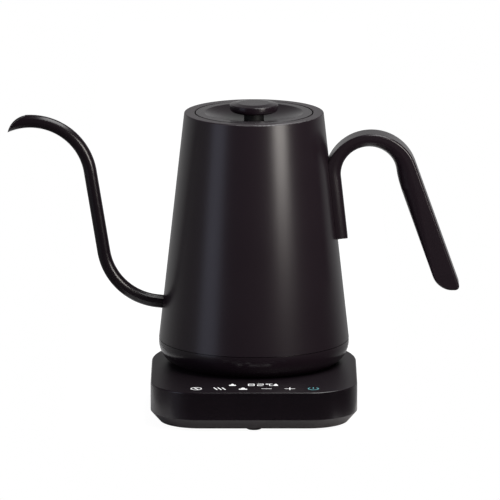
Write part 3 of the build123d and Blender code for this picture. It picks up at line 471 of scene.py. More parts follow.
def zinc_plated_steel():
    """Zinc plate on rolled steel screws: pale grey with a bluish cast that comes and goes."""
    material, tree, shader, place = new_material("zinc_plated_steel")
    cast = add_node(tree, "ShaderNodeTexNoise", {"Vector": place, "Scale": per_mm(2.0), "Detail": 3.0})
    colour = add_node(
        tree, "ShaderNodeMix",
        {"Factor": cast.outputs["Fac"], "A": linear("#9a9da3"), "B": linear("#c9c8c2")},
        data_type="RGBA",
    )
    rough = add_node(
        tree, "ShaderNodeMapRange", {"Value": cast.outputs["Fac"], "To Min": 0.28, "To Max": 0.42}
    )
    fill_inputs(tree, shader, {
        "Base Color": colour.outputs["Result"], "Metallic": 1.0, "Roughness": rough.outputs["Result"],
    })
    return material


def die_cast_aluminium():
    """Die-cast aluminium: dull silver with flow clouds from the mould and a pebbled skin."""
    material, tree, shader, place = new_material("die_cast_aluminium")
    skin = add_node(tree, "ShaderNodeTexNoise", {"Vector": place, "Scale": per_mm(0.7), "Detail": 3.0})
    flow = add_node(
        tree, "ShaderNodeTexNoise",
        {"Vector": place, "Scale": per_mm(18.0), "Detail": 3.0, "Distortion": 1.0},
    )
    colour = add_node(
        tree, "ShaderNodeMix",
        {"Factor": flow.outputs["Fac"], "A": linear("#9b9b9c"), "B": linear("#bdbdbd")},
        data_type="RGBA",
    )
    rough = add_node(
        tree, "ShaderNodeMapRange", {"Value": flow.outputs["Fac"], "To Min": 0.42, "To Max": 0.58}
    )
    bump = add_node(
        tree, "ShaderNodeBump", {"Height": skin.outputs["Fac"], "Strength": 0.2, "Distance": 0.03 * MM}
    )
    fill_inputs(tree, shader, {
        "Base Color": colour.outputs["Result"],
        "Metallic": 1.0,
        "Roughness": rough.outputs["Result"],
        "Normal": bump.outputs["Normal"],
    })
    return material


def drawn_brass():
    """Drawn brass contacts: yellow metal, browner where the air has dulled it."""
    material, tree, shader, place = new_material("drawn_brass")
    tarnish = add_node(tree, "ShaderNodeTexNoise", {"Vector": place, "Scale": per_mm(3.0), "Detail": 4.0})
    dulled = add_node(
        tree, "ShaderNodeMapRange", {"Value": tarnish.outputs["Fac"], "From Min": 0.45, "From Max": 0.75}
    )
    colour = add_node(
        tree, "ShaderNodeMix",
        {"Factor": dulled.outputs["Result"], "A": linear("#d8b765"), "B": linear("#a98542")},
        data_type="RGBA",
    )
    rough = add_node(
        tree, "ShaderNodeMapRange", {"Value": dulled.outputs["Result"], "To Min": 0.22, "To Max": 0.4}
    )
    fill_inputs(tree, shader, {
        "Base Color": colour.outputs["Result"], "Metallic": 1.0, "Roughness": rough.outputs["Result"],
    })
    return material


def glass_filled_nylon():
    """Glass-filled nylon, as on the plug and socket: matt black with short pale fibre streaks."""
    material, tree, shader, place = new_material("glass_filled_nylon")
    # The streaks stand upright and are five times as long as they are wide.
    long_way = add_node(
        tree, "ShaderNodeVectorMath", {0: place, 1: (1.0, 1.0, 0.2)}, operation="MULTIPLY"
    )
    fibre = add_node(
        tree, "ShaderNodeTexNoise",
        {"Vector": long_way.outputs["Vector"], "Scale": per_mm(0.5), "Detail": 3.0},
    )
    streak = add_node(
        tree, "ShaderNodeMapRange", {"Value": fibre.outputs["Fac"], "From Min": 0.55, "From Max": 0.8}
    )
    colour = add_node(
        tree, "ShaderNodeMix",
        {"Factor": streak.outputs["Result"], "A": linear("#161617"), "B": linear("#29292a")},
        data_type="RGBA",
    )
    rough = add_node(
        tree, "ShaderNodeMapRange", {"Value": fibre.outputs["Fac"], "To Min": 0.5, "To Max": 0.66}
    )
    fill_inputs(tree, shader, {
        "Base Color": colour.outputs["Result"], "Roughness": rough.outputs["Result"], "IOR": 1.53,
    })
    return material


def coated_laminate():
    """Glass laminate under green solder mask: paler tracks show through, and the pads are bare tin."""
    pad_pitch = 4.0
    pad_radius = 0.64
    material, tree, shader, place = new_material("coated_laminate")
    tracks = add_node(
        tree, "ShaderNodeTexBrick",
        {"Vector": place, "Scale": per_mm(1.0), "Brick Width": 5.0, "Row Height": 1.6,
         "Mortar Size": 0.2, "Color1": linear("#ffffff"), "Color2": linear("#ffffff"),
         "Mortar": linear("#000000")},
        offset=0.35,
    )
    pads = add_node(
        tree, "ShaderNodeTexVoronoi", {"Vector": place, "Scale": per_mm(pad_pitch), "Randomness": 0.4},
        voronoi_dimensions="2D",
    )
    bare = add_node(
        tree, "ShaderNodeMath",
        {0: pads.outputs["Distance"], 1: pad_radius / pad_pitch}, operation="LESS_THAN",
    )
    mask_colour = add_node(
        tree, "ShaderNodeMix",
        {"Factor": tracks.outputs["Fac"], "A": linear("#155c36"), "B": linear("#0f4428")},
        data_type="RGBA",
    )
    colour = add_node(
        tree, "ShaderNodeMix",
        {"Factor": bare.outputs["Value"], "A": mask_colour.outputs["Result"], "B": linear("#c4c4c0")},
        data_type="RGBA",
    )
    rough = add_node(
        tree, "ShaderNodeMapRange", {"Value": bare.outputs["Value"], "To Min": 0.3, "To Max": 0.38}
    )
    fill_inputs(tree, shader, {
        "Base Color": colour.outputs["Result"],
        "Metallic": bare.outputs["Value"],
        "Roughness": rough.outputs["Result"],
        "IOR": 1.5,
    })
    return material


def cast_epoxy():
    """Cases of the small electric parts, sealed with cast epoxy: dark grey-blue with a dull shine."""
    material, tree, shader, place = new_material("cast_epoxy")
    cloud = add_node(tree, "ShaderNodeTexNoise", {"Vector": place, "Scale": per_mm(5.0), "Detail": 3.0})
    colour = add_node(
        tree, "ShaderNodeMix",
        {"Factor": cloud.outputs["Fac"], "A": linear("#1b1d22"), "B": linear("#262a31")},
        data_type="RGBA",
    )
    rough = add_node(
        tree, "ShaderNodeMapRange", {"Value": cloud.outputs["Fac"], "To Min": 0.3, "To Max": 0.45}
    )
    fill_inputs(tree, shader, {
        "Base Color": colour.outputs["Result"], "Roughness": rough.outputs["Result"], "IOR": 1.55,
    })
    return material


def frosted_polycarbonate():
    """Frosted polycarbonate of the light guide: milky white, so that it spreads the light."""
    material, tree, shader, place = new_material("frosted_polycarbonate")
    frost = add_node(tree, "ShaderNodeTexNoise", {"Vector": place, "Scale": per_mm(1.0), "Detail": 3.0})
    colour = add_node(
        tree, "ShaderNodeMix",
        {"Factor": frost.outputs["Fac"], "A": linear("#dfe3e4"), "B": linear("#f0f2f2")},
        data_type="RGBA",
    )
    rough = add_node(
        tree, "ShaderNodeMapRange", {"Value": frost.outputs["Fac"], "To Min": 0.45, "To Max": 0.6}
    )
    fill_inputs(tree, shader, {
        "Base Color": colour.outputs["Result"],
        "Roughness": rough.outputs["Result"],
        "Transmission Weight": 0.35,
        "IOR": 1.585,
    })
    return material


def braided_glass_sleeve():
    """Glass-fibre sleeve braided over the leads: off-white with a fine crossed weave."""
    material, tree, shader, place = new_material("braided_glass_sleeve")
    weave = add_node(tree, "ShaderNodeTexChecker", {"Vector": place, "Scale": per_mm(0.5)})
    soil = add_node(tree, "ShaderNodeTexNoise", {"Vector": place, "Scale": per_mm(10.0), "Detail": 3.0})
    thread = add_node(
        tree, "ShaderNodeMix",
        {"Factor": weave.outputs["Fac"], "A": linear("#c9c2b2"), "B": linear("#ddd8cb")},
        data_type="RGBA",
    )
    colour = add_node(
        tree, "ShaderNodeMix",
        {"Factor": soil.outputs["Fac"], "A": thread.outputs["Result"], "B": linear("#cfc6b2")},
        data_type="RGBA",
    )
    bump = add_node(
        tree, "ShaderNodeBump", {"Height": weave.outputs["Fac"], "Strength": 0.3, "Distance": 0.05 * MM}
    )
    fill_inputs(tree, shader, {
        "Base Color": colour.outputs["Result"],
        "Roughness": 0.75,
        "Normal": bump.outputs["Normal"],
        "IOR": 1.5,
    })
    return material


def extruded_pvc_ribbon():
    """Extruded PVC ribbon cable: grey, with a groove between its wires."""
    material, tree, shader, place = new_material("extruded_pvc_ribbon")
    wires = add_node(
        tree, "ShaderNodeTexWave",
        {"Vector": place, "Scale": per_mm(1.27) * WAVE_BAND, "Distortion": 0.0},
        bands_direction="X",
    )
    colour = add_node(
        tree, "ShaderNodeMix",
        {"Factor": wires.outputs["Fac"], "A": linear("#6d7075"), "B": linear("#92959a")},
        data_type="RGBA",
    )
    bump = add_node(
        tree, "ShaderNodeBump", {"Height": wires.outputs["Fac"], "Strength": 0.5, "Distance": 0.2 * MM}
    )
    fill_inputs(tree, shader, {
        "Base Color": colour.outputs["Result"],
        "Roughness": 0.45,
        "Normal": bump.outputs["Normal"],
        "IOR": 1.53,
    })
    return material


def backlit_film(name, code, brightness):
    """Printed film lit from below: even colour, a touch brighter over each lamp."""
    material, tree, shader, place = new_material(name)
    lamps = add_node(tree, "ShaderNodeTexNoise", {"Vector": place, "Scale": per_mm(4.0), "Detail": 1.0})
    strength = add_node(tree, "ShaderNodeMapRange", {
        "Value": lamps.outputs["Fac"],
        "To Min": (1 - FILM_UNEVEN) * brightness,
        "To Max": (1 + FILM_UNEVEN) * brightness,
    })
    fill_inputs(tree, shader, {
        "Base Color": linear("#202020"),
        "Roughness": 0.4,
        "Emission Color": linear(code),
        "Emission Strength": strength.outputs["Result"],
    })
    return material


def start(add_primitive, stretch=(1, 1, 1), **settings):
    """Adds a primitive at its size and place, as the one selected piece."""
    bpy.ops.object.select_all(action="DESELECT")
    add_primitive(**settings)
    bpy.context.object.scale = stretch
    bpy.ops.object.transform_apply()
    return bpy.context.object


def pick(kind, test):
    """Selects those edges, faces or points of the piece in hand whose middle and direction pass a test.

    The middle is in millimetres from the kettle's axis."""
    bpy.ops.mesh.select_mode(type=kind)
    bpy.ops.mesh.select_all(action="DESELECT")
    data = bpy.context.object.data
    mesh = bmesh.from_edit_mesh(data)
    for part in {"VERT": mesh.verts, "EDGE": mesh.edges, "FACE": mesh.faces}[kind]:
        if kind == "FACE":
            middle, direction = part.calc_center_median(), part.normal
        elif kind == "EDGE":
            ends = [point.co for point in part.verts]
            middle, direction = (ends[0] + ends[1]) / 2, (ends[1] - ends[0]).normalized()
        else:
            middle, direction = part.co, part.normal
        part.select_set(test(middle / MM - AXIS, direction))
    mesh.select_flush_mode()
    bmesh.update_edit_mesh(data)


def shift(x, y, z):
    """Displacement in millimetres as the extrude and move operators take it."""
    return {"value": (x * MM, y * MM, z * MM)}


def again(piece, x, y):
    """Copy of a piece with its own mesh, moved level."""
    twin = piece.copy()
    twin.data = piece.data.copy()
    bpy.context.scene.collection.objects.link(twin)
    twin.location += Vector((x, y, 0)) * MM
    return twin


def join(pieces):
    """Makes one object of several and leaves it selected and active."""
    bpy.ops.object.select_all(action="DESELECT")
    for piece in pieces:
        piece.select_set(True)
    bpy.context.view_layer.objects.active = pieces[0]
    bpy.ops.object.transform_apply()
    if len(pieces) > 1:
        bpy.ops.object.join()
    return bpy.context.object


def settle(piece, name, material, body, slot, *replaced):
    """Finishes a piece: faces outwards, smooth but for its edges, dressed, and riding on its body."""
    piece = join([piece])
    bpy.ops.object.mode_set(mode="EDIT")
    bpy.ops.mesh.select_all(action="SELECT")
    bpy.ops.mesh.remove_doubles(threshold=MERGE * MM)
    bpy.ops.mesh.normals_make_consistent(inside=False)
    bpy.ops.object.mode_set(mode="OBJECT")
    bpy.ops.object.shade_smooth_by_angle(angle=radians(SMOOTH_BELOW))
    apply_modifier(piece, "WEIGHTED_NORMAL", keep_sharp=True)
    piece.name = name
    piece.data.name = name
    piece.data.materials.clear()
    piece.data.materials.append(material)
    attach(piece, body)
    if replaced:
        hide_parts(*replaced)


def apply_modifier(piece, kind, **settings):
    """Adds a modifier with its settings and applies it."""
    modifier = piece.modifiers.new(kind.lower(), kind)
    for name, value in settings.items():
        setattr(modifier, name, value)
    bpy.context.view_layer.objects.active = piece
    bpy.ops.object.modifier_apply(modifier=modifier.name)


def cut_away(piece, cutter):
    """Takes the cutter's room out of a piece and throws the cutter away."""
    apply_modifier(piece, "BOOLEAN", operation="DIFFERENCE", object=cutter, solver="EXACT")
    bpy.data.objects.remove(cutter)


def vessel_room():
    """Cone that the vessel takes up, with the fit that keeps the handle off it."""
    return start(
        bpy.ops.mesh.primitive_cone_add, vertices=256, radius1=(BODY_BOTTOM_R + FIT) * MM,
        radius2=(BODY_TOP_R + FIT) * MM, depth=(RIM - SEAM) * MM, location=spot(0, 0, (SEAM + RIM) / 2),
    )


def strip_room():
    """Room for the strip that covers the screws on the hand side of the handle's leg."""
    middle = SEAM + STRIP_RISE
    tilt = radians(WALL_TILT)
    wall_r = BODY_BOTTOM_R - STRIP_RISE * tan(tilt)
    depth = 2 * STRIP
    away = LEG_OFF - STRIP + depth / 2
    return start(
        bpy.ops.mesh.primitive_cube_add, (depth, STRIP_WIDTH + 2 * FIT, STRIP_HEIGHT + 2 * FIT), size=MM,
        rotation=(0, -tilt, 0), location=spot(wall_r + away * cos(tilt), 0, middle + away * sin(tilt)),
    )


def handle(material):
    """Moulded hook handle: a leg on the wall, a hook over the top and a straight leaning grip.

    Its outer edges are crisp and the edges on the hand's side are soft."""
    out = Vector((cos(radians(WALL_TILT)), 0, sin(radians(WALL_TILT))))
    side = Vector((cos(radians(GRIP_LEAN)), 0, sin(radians(GRIP_LEAN))))
    down = Vector((sin(radians(GRIP_LEAN)), 0, -cos(radians(GRIP_LEAN))))
    kink = Vector((cos(radians(GRIP_KINK)), 0, sin(radians(GRIP_KINK))))
    kink_down = Vector((sin(radians(GRIP_KINK)), 0, -cos(radians(GRIP_KINK))))
    slope = tan(radians(WALL_TILT))
    leg_end = Vector((BODY_BOTTOM_R - LEG_END_RISE * slope, 0, SEAM + LEG_END_RISE))
    hook_root = Vector((BODY_BOTTOM_R - HOOK_RISE * slope, 0, SEAM + HOOK_RISE))
    leg_way = (hook_root - leg_end).normalized()
    centre = hook_root + out * (LEG_OFF + HOOK_IN_R)
    crown_centre = centre + Vector((HOOK_SHIFT, 0, HOOK_IN_R + HOOK - HOOK_OUT_R))
    outer_start = crown_centre + side * HOOK_OUT_R
    inner_start = outer_start - side * GRIP
    bow_end = inner_start + down * GRIP_BLEND
    outer_end = outer_start + down * ((outer_start.z - GRIP_END_Z) / -down.z)
    inner_end = inner_start + down * ((inner_start.z - GRIP_END_Z) / -down.z)
    hook_end = centre + kink * HOOK_IN_R
    bow = interpolate_bezier(hook_end, hook_end + kink_down * GRIP_EASE, bow_end - down * GRIP_EASE,
                             bow_end, GRIP_BLEND_POINTS)

    def walk(*points):
        """Draws straight edges on from the selected point."""
        for point in points:
            here = next(v.co for v in bmesh.from_edit_mesh(piece.data).verts if v.select)
            step = spot(*point) - here
            bpy.ops.mesh.extrude_region_move(TRANSFORM_OT_translate={"value": step})

    def sweep(middle, angle, steps):
        """Draws an arc on from the selected point, clockwise as the photograph shows it."""
        bpy.ops.mesh.spin(steps=steps, angle=radians(angle), center=spot(*middle), axis=(0, -1, 0))

    def rounding(place):
        """Rounding of the handle's rim at a place on its outline: fuller, the deeper the place lies."""
        if min((place - leg_end).dot(leg_way), (place - leg_end).dot(out)) < FIT:
            return HANDLE_CRISP_R
        if place.x < centre.x and place.z < centre.z:
            return HANDLE_LEG_R
        depth = HOOK_OUT_R - (place - crown_centre).length
        if place.x > centre.x and (place - outer_start).dot(down) > 0:
            depth = (outer_start - place).dot(side)
        soft = max(HANDLE_CRISP_R, HANDLE_SOFT_SHARE * depth)
        return min(soft, HANDLE_LEG_R) if place.x < centre.x else soft

    piece = start(bpy.ops.mesh.primitive_plane_add, size=GRIP * MM)
    bpy.ops.object.mode_set(mode="EDIT")
    bpy.ops.mesh.merge(type="CENTER")
    bpy.ops.transform.translate(value=spot(*(leg_end + out * LEG_OFF)))
    walk(centre - out * HOOK_IN_R)
    sweep(centre, 180 + WALL_TILT - GRIP_KINK, HOOK_IN_STEPS)
    walk(*bow[1:], inner_end, outer_end, outer_start)
    sweep(crown_centre, GRIP_LEAN - HOOK_END_ANGLE, HOOK_OUT_STEPS)
    walk(leg_end - out * LEG_OFF)
    bpy.ops.mesh.select_all(action="SELECT")
    bpy.ops.mesh.edge_face_add()
    inner_corner = (inner_end, GRIP_INNER_R, 90 + GRIP_LEAN)
    outer_corner = (outer_end, GRIP_OUTER_R, 90 - GRIP_LEAN)
    for end, radius, angle in (inner_corner, outer_corner):
        pick("VERT", lambda middle, direction: (middle - end).length < FIT)
        reach = radius / tan(radians(angle / 2))
        bpy.ops.mesh.bevel(offset=reach * MM, segments=10, affect="VERTICES")
    bpy.ops.mesh.select_all(action="SELECT")
    bpy.ops.transform.translate(value=(0, -HANDLE_WIDTH / 2 * MM, 0))
    bpy.ops.mesh.extrude_region_move(TRANSFORM_OT_translate=shift(0, HANDLE_WIDTH, 0))

    fullest = HANDLE_SOFT_SHARE * GRIP
    mesh = bmesh.from_edit_mesh(piece.data)
    weights = mesh.edges.layers.float.new("bevel_weight_edge")
    for edge in mesh.edges:
        ends = [point.co / MM - AXIS for point in edge.verts]
        if abs(ends[0].y - ends[1].y) < FIT:
            middle = (ends[0] + ends[1]) / 2
            edge[weights] = rounding(Vector((middle.x, 0, middle.z))) / fullest
    bmesh.update_edit_mesh(piece.data)
    bpy.ops.mesh.select_all(action="SELECT")
    bpy.ops.mesh.normals_make_consistent(inside=False)
    bpy.ops.object.mode_set(mode="OBJECT")
    apply_modifier(piece, "BEVEL", width=fullest * MM, segments=8, limit_method="WEIGHT",
                   use_clamp_overlap=False)
    cut_away(piece, vessel_room())
    cut_away(piece, strip_room())
    settle(piece, "handle", material, "kettle", "body_plastic", "handle_grip")


def foot_set(material):
    """Four rubber feet, each a rounded button with a shallow hollow in its underside."""
    top = BASE_BOTTOM + FOOT_RECESS
    one = start(
        bpy.ops.mesh.primitive_cylinder_add, vertices=64, radius=FOOT_R * MM, depth=top * MM,
        location=spot(0, 0, top / 2),
    )
    bpy.ops.object.mode_set(mode="EDIT")
    pick("EDGE", lambda middle, direction: middle.z < FIT)
    bpy.ops.mesh.bevel(offset=FOOT_EDGE_R * MM, segments=5)
    pick("FACE", lambda middle, direction: direction.z < -FACING)
    bpy.ops.mesh.inset(thickness=FOOT_BAND * MM)
    bpy.ops.mesh.inset(thickness=FOOT_BAND * MM)
    bpy.ops.mesh.inset(thickness=FOOT_HOLLOW_SLOPE * MM, depth=-FOOT_HOLLOW * MM)
    bpy.ops.object.mode_set(mode="OBJECT")
    feet = [again(one, *place) for place in FOOT_SPOTS]
    bpy.data.objects.remove(one)
    settle(join(feet), "rubber_feet", material, "base", "foot_rubber", "feet")


def cross_screws(name, material, body, node, radius, head_r, head, spots):
    """Screws that point up, each with a domed head, a cross recess and a pointed shank."""
    low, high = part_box(node)
    bottom, tip = low.z / MM, high.z / MM
    one = start(
        bpy.ops.mesh.primitive_cylinder_add, vertices=32, radius=head_r * MM, depth=head * MM,
        location=spot(0, 0, bottom + head / 2),
    )
    bpy.ops.object.mode_set(mode="EDIT")
    pick("FACE", lambda middle, direction: direction.z > FACING)
    bpy.ops.mesh.inset(thickness=(head_r - radius) * MM)
    bpy.ops.mesh.extrude_region_move(TRANSFORM_OT_translate=shift(0, 0, tip - bottom - head - radius))
    bpy.ops.mesh.inset(thickness=SCREW_POINT * radius * MM, depth=radius * MM)
    pick("EDGE", lambda middle, direction: middle.z < bottom + FIT)
    bpy.ops.mesh.bevel(offset=SCREW_DOME * head * MM, segments=4)
    bpy.ops.object.mode_set(mode="OBJECT")
    recess = (CROSS_LENGTH * head_r, CROSS_WIDTH * head_r, CROSS_CUT * head)
    for turn in (0, 90):
        cut_away(one, start(
            bpy.ops.mesh.primitive_cube_add, recess, size=MM, location=spot(0, 0, bottom),
            rotation=(0, 0, radians(turn)),
        ))
    screws = [again(one, *place) for place in spots]
    bpy.data.objects.remove(one)
    settle(join(screws), name, material, body, "screw_steel", node)


def raise_film():
    """Gives the flat mark in hand the film's thickness."""
    bpy.ops.mesh.select_all(action="SELECT")
    bpy.ops.mesh.extrude_region_move(TRANSFORM_OT_translate=shift(0, 0, FILM))
    bpy.ops.object.mode_set(mode="OBJECT")
    return bpy.context.object


def stroke(x, y, length, width=STROKE, turn=0.0):
    """Straight lit stroke with rounded corners. Its turn is from across the base, in degrees."""
    start(
        bpy.ops.mesh.primitive_plane_add, (length, width, 1), size=MM,
        location=spot(x, y, BASE_TOP - FILM_SUNK), rotation=(0, 0, radians(turn)),
    )
    bpy.ops.object.mode_set(mode="EDIT")
    bpy.ops.mesh.bevel(offset=STROKE_CORNER * min(length, width) * MM, segments=3, affect="VERTICES")
    return raise_film()


def ring(x, y, radius, gap=0.0):
    """Lit ring, with a gap of so many degrees at its far side."""
    start(
        bpy.ops.mesh.primitive_circle_add, vertices=60, radius=radius * MM, fill_type="NGON",
        location=spot(x, y, BASE_TOP - FILM_SUNK),
    )
    bpy.ops.object.mode_set(mode="EDIT")
    bpy.ops.mesh.select_mode(type="FACE")
    bpy.ops.mesh.inset(thickness=STROKE * MM)
    bpy.ops.mesh.delete(type="FACE")
    pick("FACE", lambda middle, direction: degrees(abs(atan2(middle.x - x, middle.y - y))) < gap / 2)
    bpy.ops.mesh.delete(type="FACE")
    return raise_film()


def pot(x, y, width, neck):
    """Lit solid outline of a small pot: a low body, and a lid that is narrower by the neck's share."""
    body_y = y - (1 - POT_BODY) / 2 * POT_DEPTH
    start(
        bpy.ops.mesh.primitive_plane_add, (width, POT_BODY * POT_DEPTH, 1), size=MM,
        location=spot(x, body_y, BASE_TOP - FILM_SUNK),
    )
    bpy.ops.object.mode_set(mode="EDIT")
    pick("EDGE", lambda middle, direction: middle.y > body_y + FIT)
    for share, narrowing in ((POT_SHOULDER, neck), (POT_LID, POT_LID_TOP)):
        bpy.ops.mesh.extrude_region_move(TRANSFORM_OT_translate=shift(0, share * POT_DEPTH, 0))
        bpy.ops.transform.resize(value=(narrowing, 1, 1))
    return raise_film()


def digit(x, lit):
    """Seven-segment figure. Lit names its segments: far, mid, near, and left or right of each half."""
    half_width = (DIGIT_WIDTH - STROKE) / 2
    half_depth = (DIGIT_DEPTH - STROKE) / 2
    level = stroke(x, DISPLAY_Y, 2 * half_width - SEGMENT_GAP)
    upright = stroke(x, DISPLAY_Y, half_depth - SEGMENT_GAP, turn=90)
    rows = {"far": half_depth, "mid": 0.0, "near": -half_depth}
    sides = {
        "far_left": (-half_width, half_depth / 2), "far_right": (half_width, half_depth / 2),
        "near_left": (-half_width, -half_depth / 2), "near_right": (half_width, -half_depth / 2),
    }
    segments = [again(level, 0, rows[name]) for name in lit if name in rows]
    segments += [again(upright, *sides[name]) for name in lit if name in sides]
    bpy.data.objects.remove(level)
    bpy.data.objects.remove(upright)
    return segments


def lit_panel(white, teal):
    """Marks of the six touch keys and of the display, thin films on the base's top."""
    keys = [KEY_ROW_X + (number - (KEYS - 1) / 2) * KEY_PITCH for number in range(KEYS)]
    bean = [
        ring(keys[0], KEY_ROW_Y, BEAN_R),
        stroke(keys[0], KEY_ROW_Y, BEAN_CREASE, THICK_STROKE, BEAN_TURN),
    ]
    steam = [
        stroke(keys[1] + offset, KEY_ROW_Y, STEAM, THICK_STROKE, STEAM_TURN)
        for offset in (-STEAM_PITCH, 0.0, STEAM_PITCH)
    ]
    kettle = [pot(keys[2], KEY_ROW_Y, width=5.4, neck=0.5)]
    less = [stroke(keys[3], KEY_ROW_Y, MINUS)]
    more = [stroke(keys[4], KEY_ROW_Y, PLUS, turn=turn) for turn in (0, 90)]
    heat = [pot(LEFT_POT_X, DISPLAY_Y, width=4.4, neck=0.45)]
    figures = digit(
        DIGIT_PLACES[0],
        ("far", "mid", "near", "far_left", "far_right", "near_left", "near_right"),
    )
    figures += digit(DIGIT_PLACES[1], ("far", "mid", "near", "far_right", "near_left"))
    reach = (DIGIT_DEPTH - STROKE) / 2
    unit = [
        ring(DEGREE_X, DISPLAY_Y + reach - STROKE, DEGREE_R),
        stroke(UNIT_X, DISPLAY_Y, 2 * reach, turn=90),
    ]
    unit += [stroke(UNIT_X + UNIT_WIDTH / 2, DISPLAY_Y + rise, UNIT_WIDTH) for rise in (-reach, reach)]
    alarm = [pot(RIGHT_POT_X, DISPLAY_Y, width=2.9, neck=0.7)]
    marks = bean + steam + kettle + less + more + heat + figures + unit + alarm
    settle(join(marks), "panel_marks", white, "base", "guide_plastic")
    power = [
        ring(keys[5], KEY_ROW_Y, POWER_R, POWER_GAP),
        stroke(keys[5], KEY_ROW_Y + POWER_BAR_SHIFT, POWER_BAR, turn=90),
    ]
    settle(join(power), "power_mark", teal, "base", "guide_plastic")


def dress(material, *nodes):
    """Gives CAD nodes their material."""
    for node in nodes:
        slots = frame["nodes"][node].material_slots
        slots[0].link = "OBJECT"
        slots[0].material = material


def camera():
    """Long lens on the photograph's line of sight."""
    data = bpy.data.cameras.new("camera")
    data.sensor_width = SENSOR
    data.lens = SENSOR * VIEW_DISTANCE / VIEW_WIDTH
    data.clip_end = 4 * VIEW_DISTANCE * MM
    seen = bpy.data.objects.new("camera", data)
    bpy.context.scene.collection.objects.link(seen)
    lift = radians(VIEW_ELEVATION)
    away = Vector((0, -cos(lift), sin(lift)))
    seen.location = spot(-VIEW_LEFT_OF_AXIS, 0, VIEW_HEIGHT) + away * VIEW_DISTANCE * MM
    seen.rotation_euler = (-away).to_track_quat("-Z", "Y").to_euler()
    bpy.context.scene.camera = seen


def softbox(name, azimuth, height, distance, size, aim_height, brightness, colour):
    """Rectangular soft light aimed at the kettle's axis, placed round it from the camera's side."""
    data = bpy.data.lights.new(name, "AREA")
    data.shape = "RECTANGLE"
    data.size, data.size_y = size[0] * MM, size[1] * MM
    data.energy = brightness * pi * data.size * data.size_y
    data.color = linear(colour)[:3]
    lamp = bpy.data.objects.new(name, data)
    bpy.context.scene.collection.objects.link(lamp)
    turn = radians(azimuth)
    lamp.location = spot(distance * sin(turn), -distance * cos(turn), height)
    aim = spot(0, 0, aim_height) - lamp.location
    lamp.rotation_euler = aim.to_track_quat("-Z", "Y").to_euler()
    lamp.visible_camera = False
    return lamp


def flag(lamp, state, *nodes):
    """Keeps a lamp's light off CAD nodes, or on them alone, as black cards beside the lamp would."""
    chosen = bpy.data.collections.new(lamp.name + "_flag")
    for node in nodes:
        chosen.objects.link(frame["nodes"][node])
    for held in chosen.collection_objects:
        held.light_linking.link_state = state
    lamp.light_linking.receiver_collection = chosen


def studio():
    """White to the eye all round, mirrored as a dim room that is paler behind, with four soft lights."""
    scene = bpy.context.scene
    scene.view_settings.view_transform = "Standard"
    world = bpy.data.worlds.new("studio")
    scene.world = world
    world.use_nodes = True
    tree = world.node_tree
    direction = add_node(tree, "ShaderNodeTexCoord").outputs["Generated"]
    parts = add_node(tree, "ShaderNodeSeparateXYZ", {"Vector": direction})
    behind = add_node(
        tree, "ShaderNodeMapRange",
        {"Value": parts.outputs["Y"], "From Min": 0.15, "From Max": 1.0,
         "To Min": ROOM_FRONT, "To Max": ROOM_BEHIND},
        interpolation_type="SMOOTHSTEP",
    )
    above = add_node(
        tree, "ShaderNodeMapRange",
        {"Value": parts.outputs["Z"], "From Min": 0.04, "From Max": 0.45,
         "To Min": 1.0, "To Max": ROOM_ABOVE_SHARE},
    )
    below = add_node(
        tree, "ShaderNodeMapRange",
        {"Value": parts.outputs["Z"], "From Min": -0.25, "From Max": -0.02,
         "To Min": ROOM_BELOW_SHARE, "To Max": 1.0},
    )
    level = add_node(
        tree, "ShaderNodeMath",
        {0: above.outputs["Result"], 1: below.outputs["Result"]}, operation="MULTIPLY",
    )
    left = add_node(
        tree, "ShaderNodeMapRange",
        {"Value": parts.outputs["X"], "From Min": -0.5, "From Max": -0.95,
         "To Min": 0.0, "To Max": ROOM_LEFT},
    )
    round_about = add_node(
        tree, "ShaderNodeMath", {0: behind.outputs["Result"], 1: left.outputs["Result"]}, operation="ADD"
    )
    room = add_node(
        tree, "ShaderNodeMath",
        {0: round_about.outputs["Value"], 1: level.outputs["Value"]}, operation="MULTIPLY",
    )
    path = add_node(tree, "ShaderNodeLightPath")
    mirrored = add_node(
        tree, "ShaderNodeMath",
        {0: path.outputs["Is Glossy Ray"], 1: path.outputs["Is Transmission Ray"]}, operation="MAXIMUM",
    )
    around = add_node(tree, "ShaderNodeMix", {
        "Factor": mirrored.outputs["Value"], "A": AMBIENT, "B": room.outputs["Value"],
    })
    seen = add_node(
        tree, "ShaderNodeMath",
        {0: around.outputs["Result"], 1: path.outputs["Is Camera Ray"]}, operation="MAXIMUM",
    )
    fill_inputs(tree, tree.nodes["Background"], {
        "Color": linear("#ffffff"), "Strength": seen.outputs["Value"],
    })
    # The key draws the light band on the vessel. Level tops would mirror it whole to an eye behind them.
    key = softbox("key_strip", azimuth=40.4, height=310, distance=500, size=(160, 300), aim_height=310,
                  brightness=11.2, colour="#fffaf4")
    flag(key, "EXCLUDE", "base_housing", "lid_cover")
    softbox("fill_strip", azimuth=-57, height=500, distance=1200, size=(500, 1200), aim_height=500,
            brightness=1.05, colour="#dfe6ff")
    softbox("overhead", azimuth=90, height=1300, distance=380, size=(1300, 600), aim_height=100,
            brightness=5.4, colour="#ffffff")
    # The rim light draws the thin line along the front of the vessel's rim.
    rim_light = softbox("rim_strip", azimuth=0, height=1300, distance=500, size=(1000, 700),
                        aim_height=190, brightness=6.4, colour="#ffffff")
    flag(rim_light, "INCLUDE", "vessel_shell")


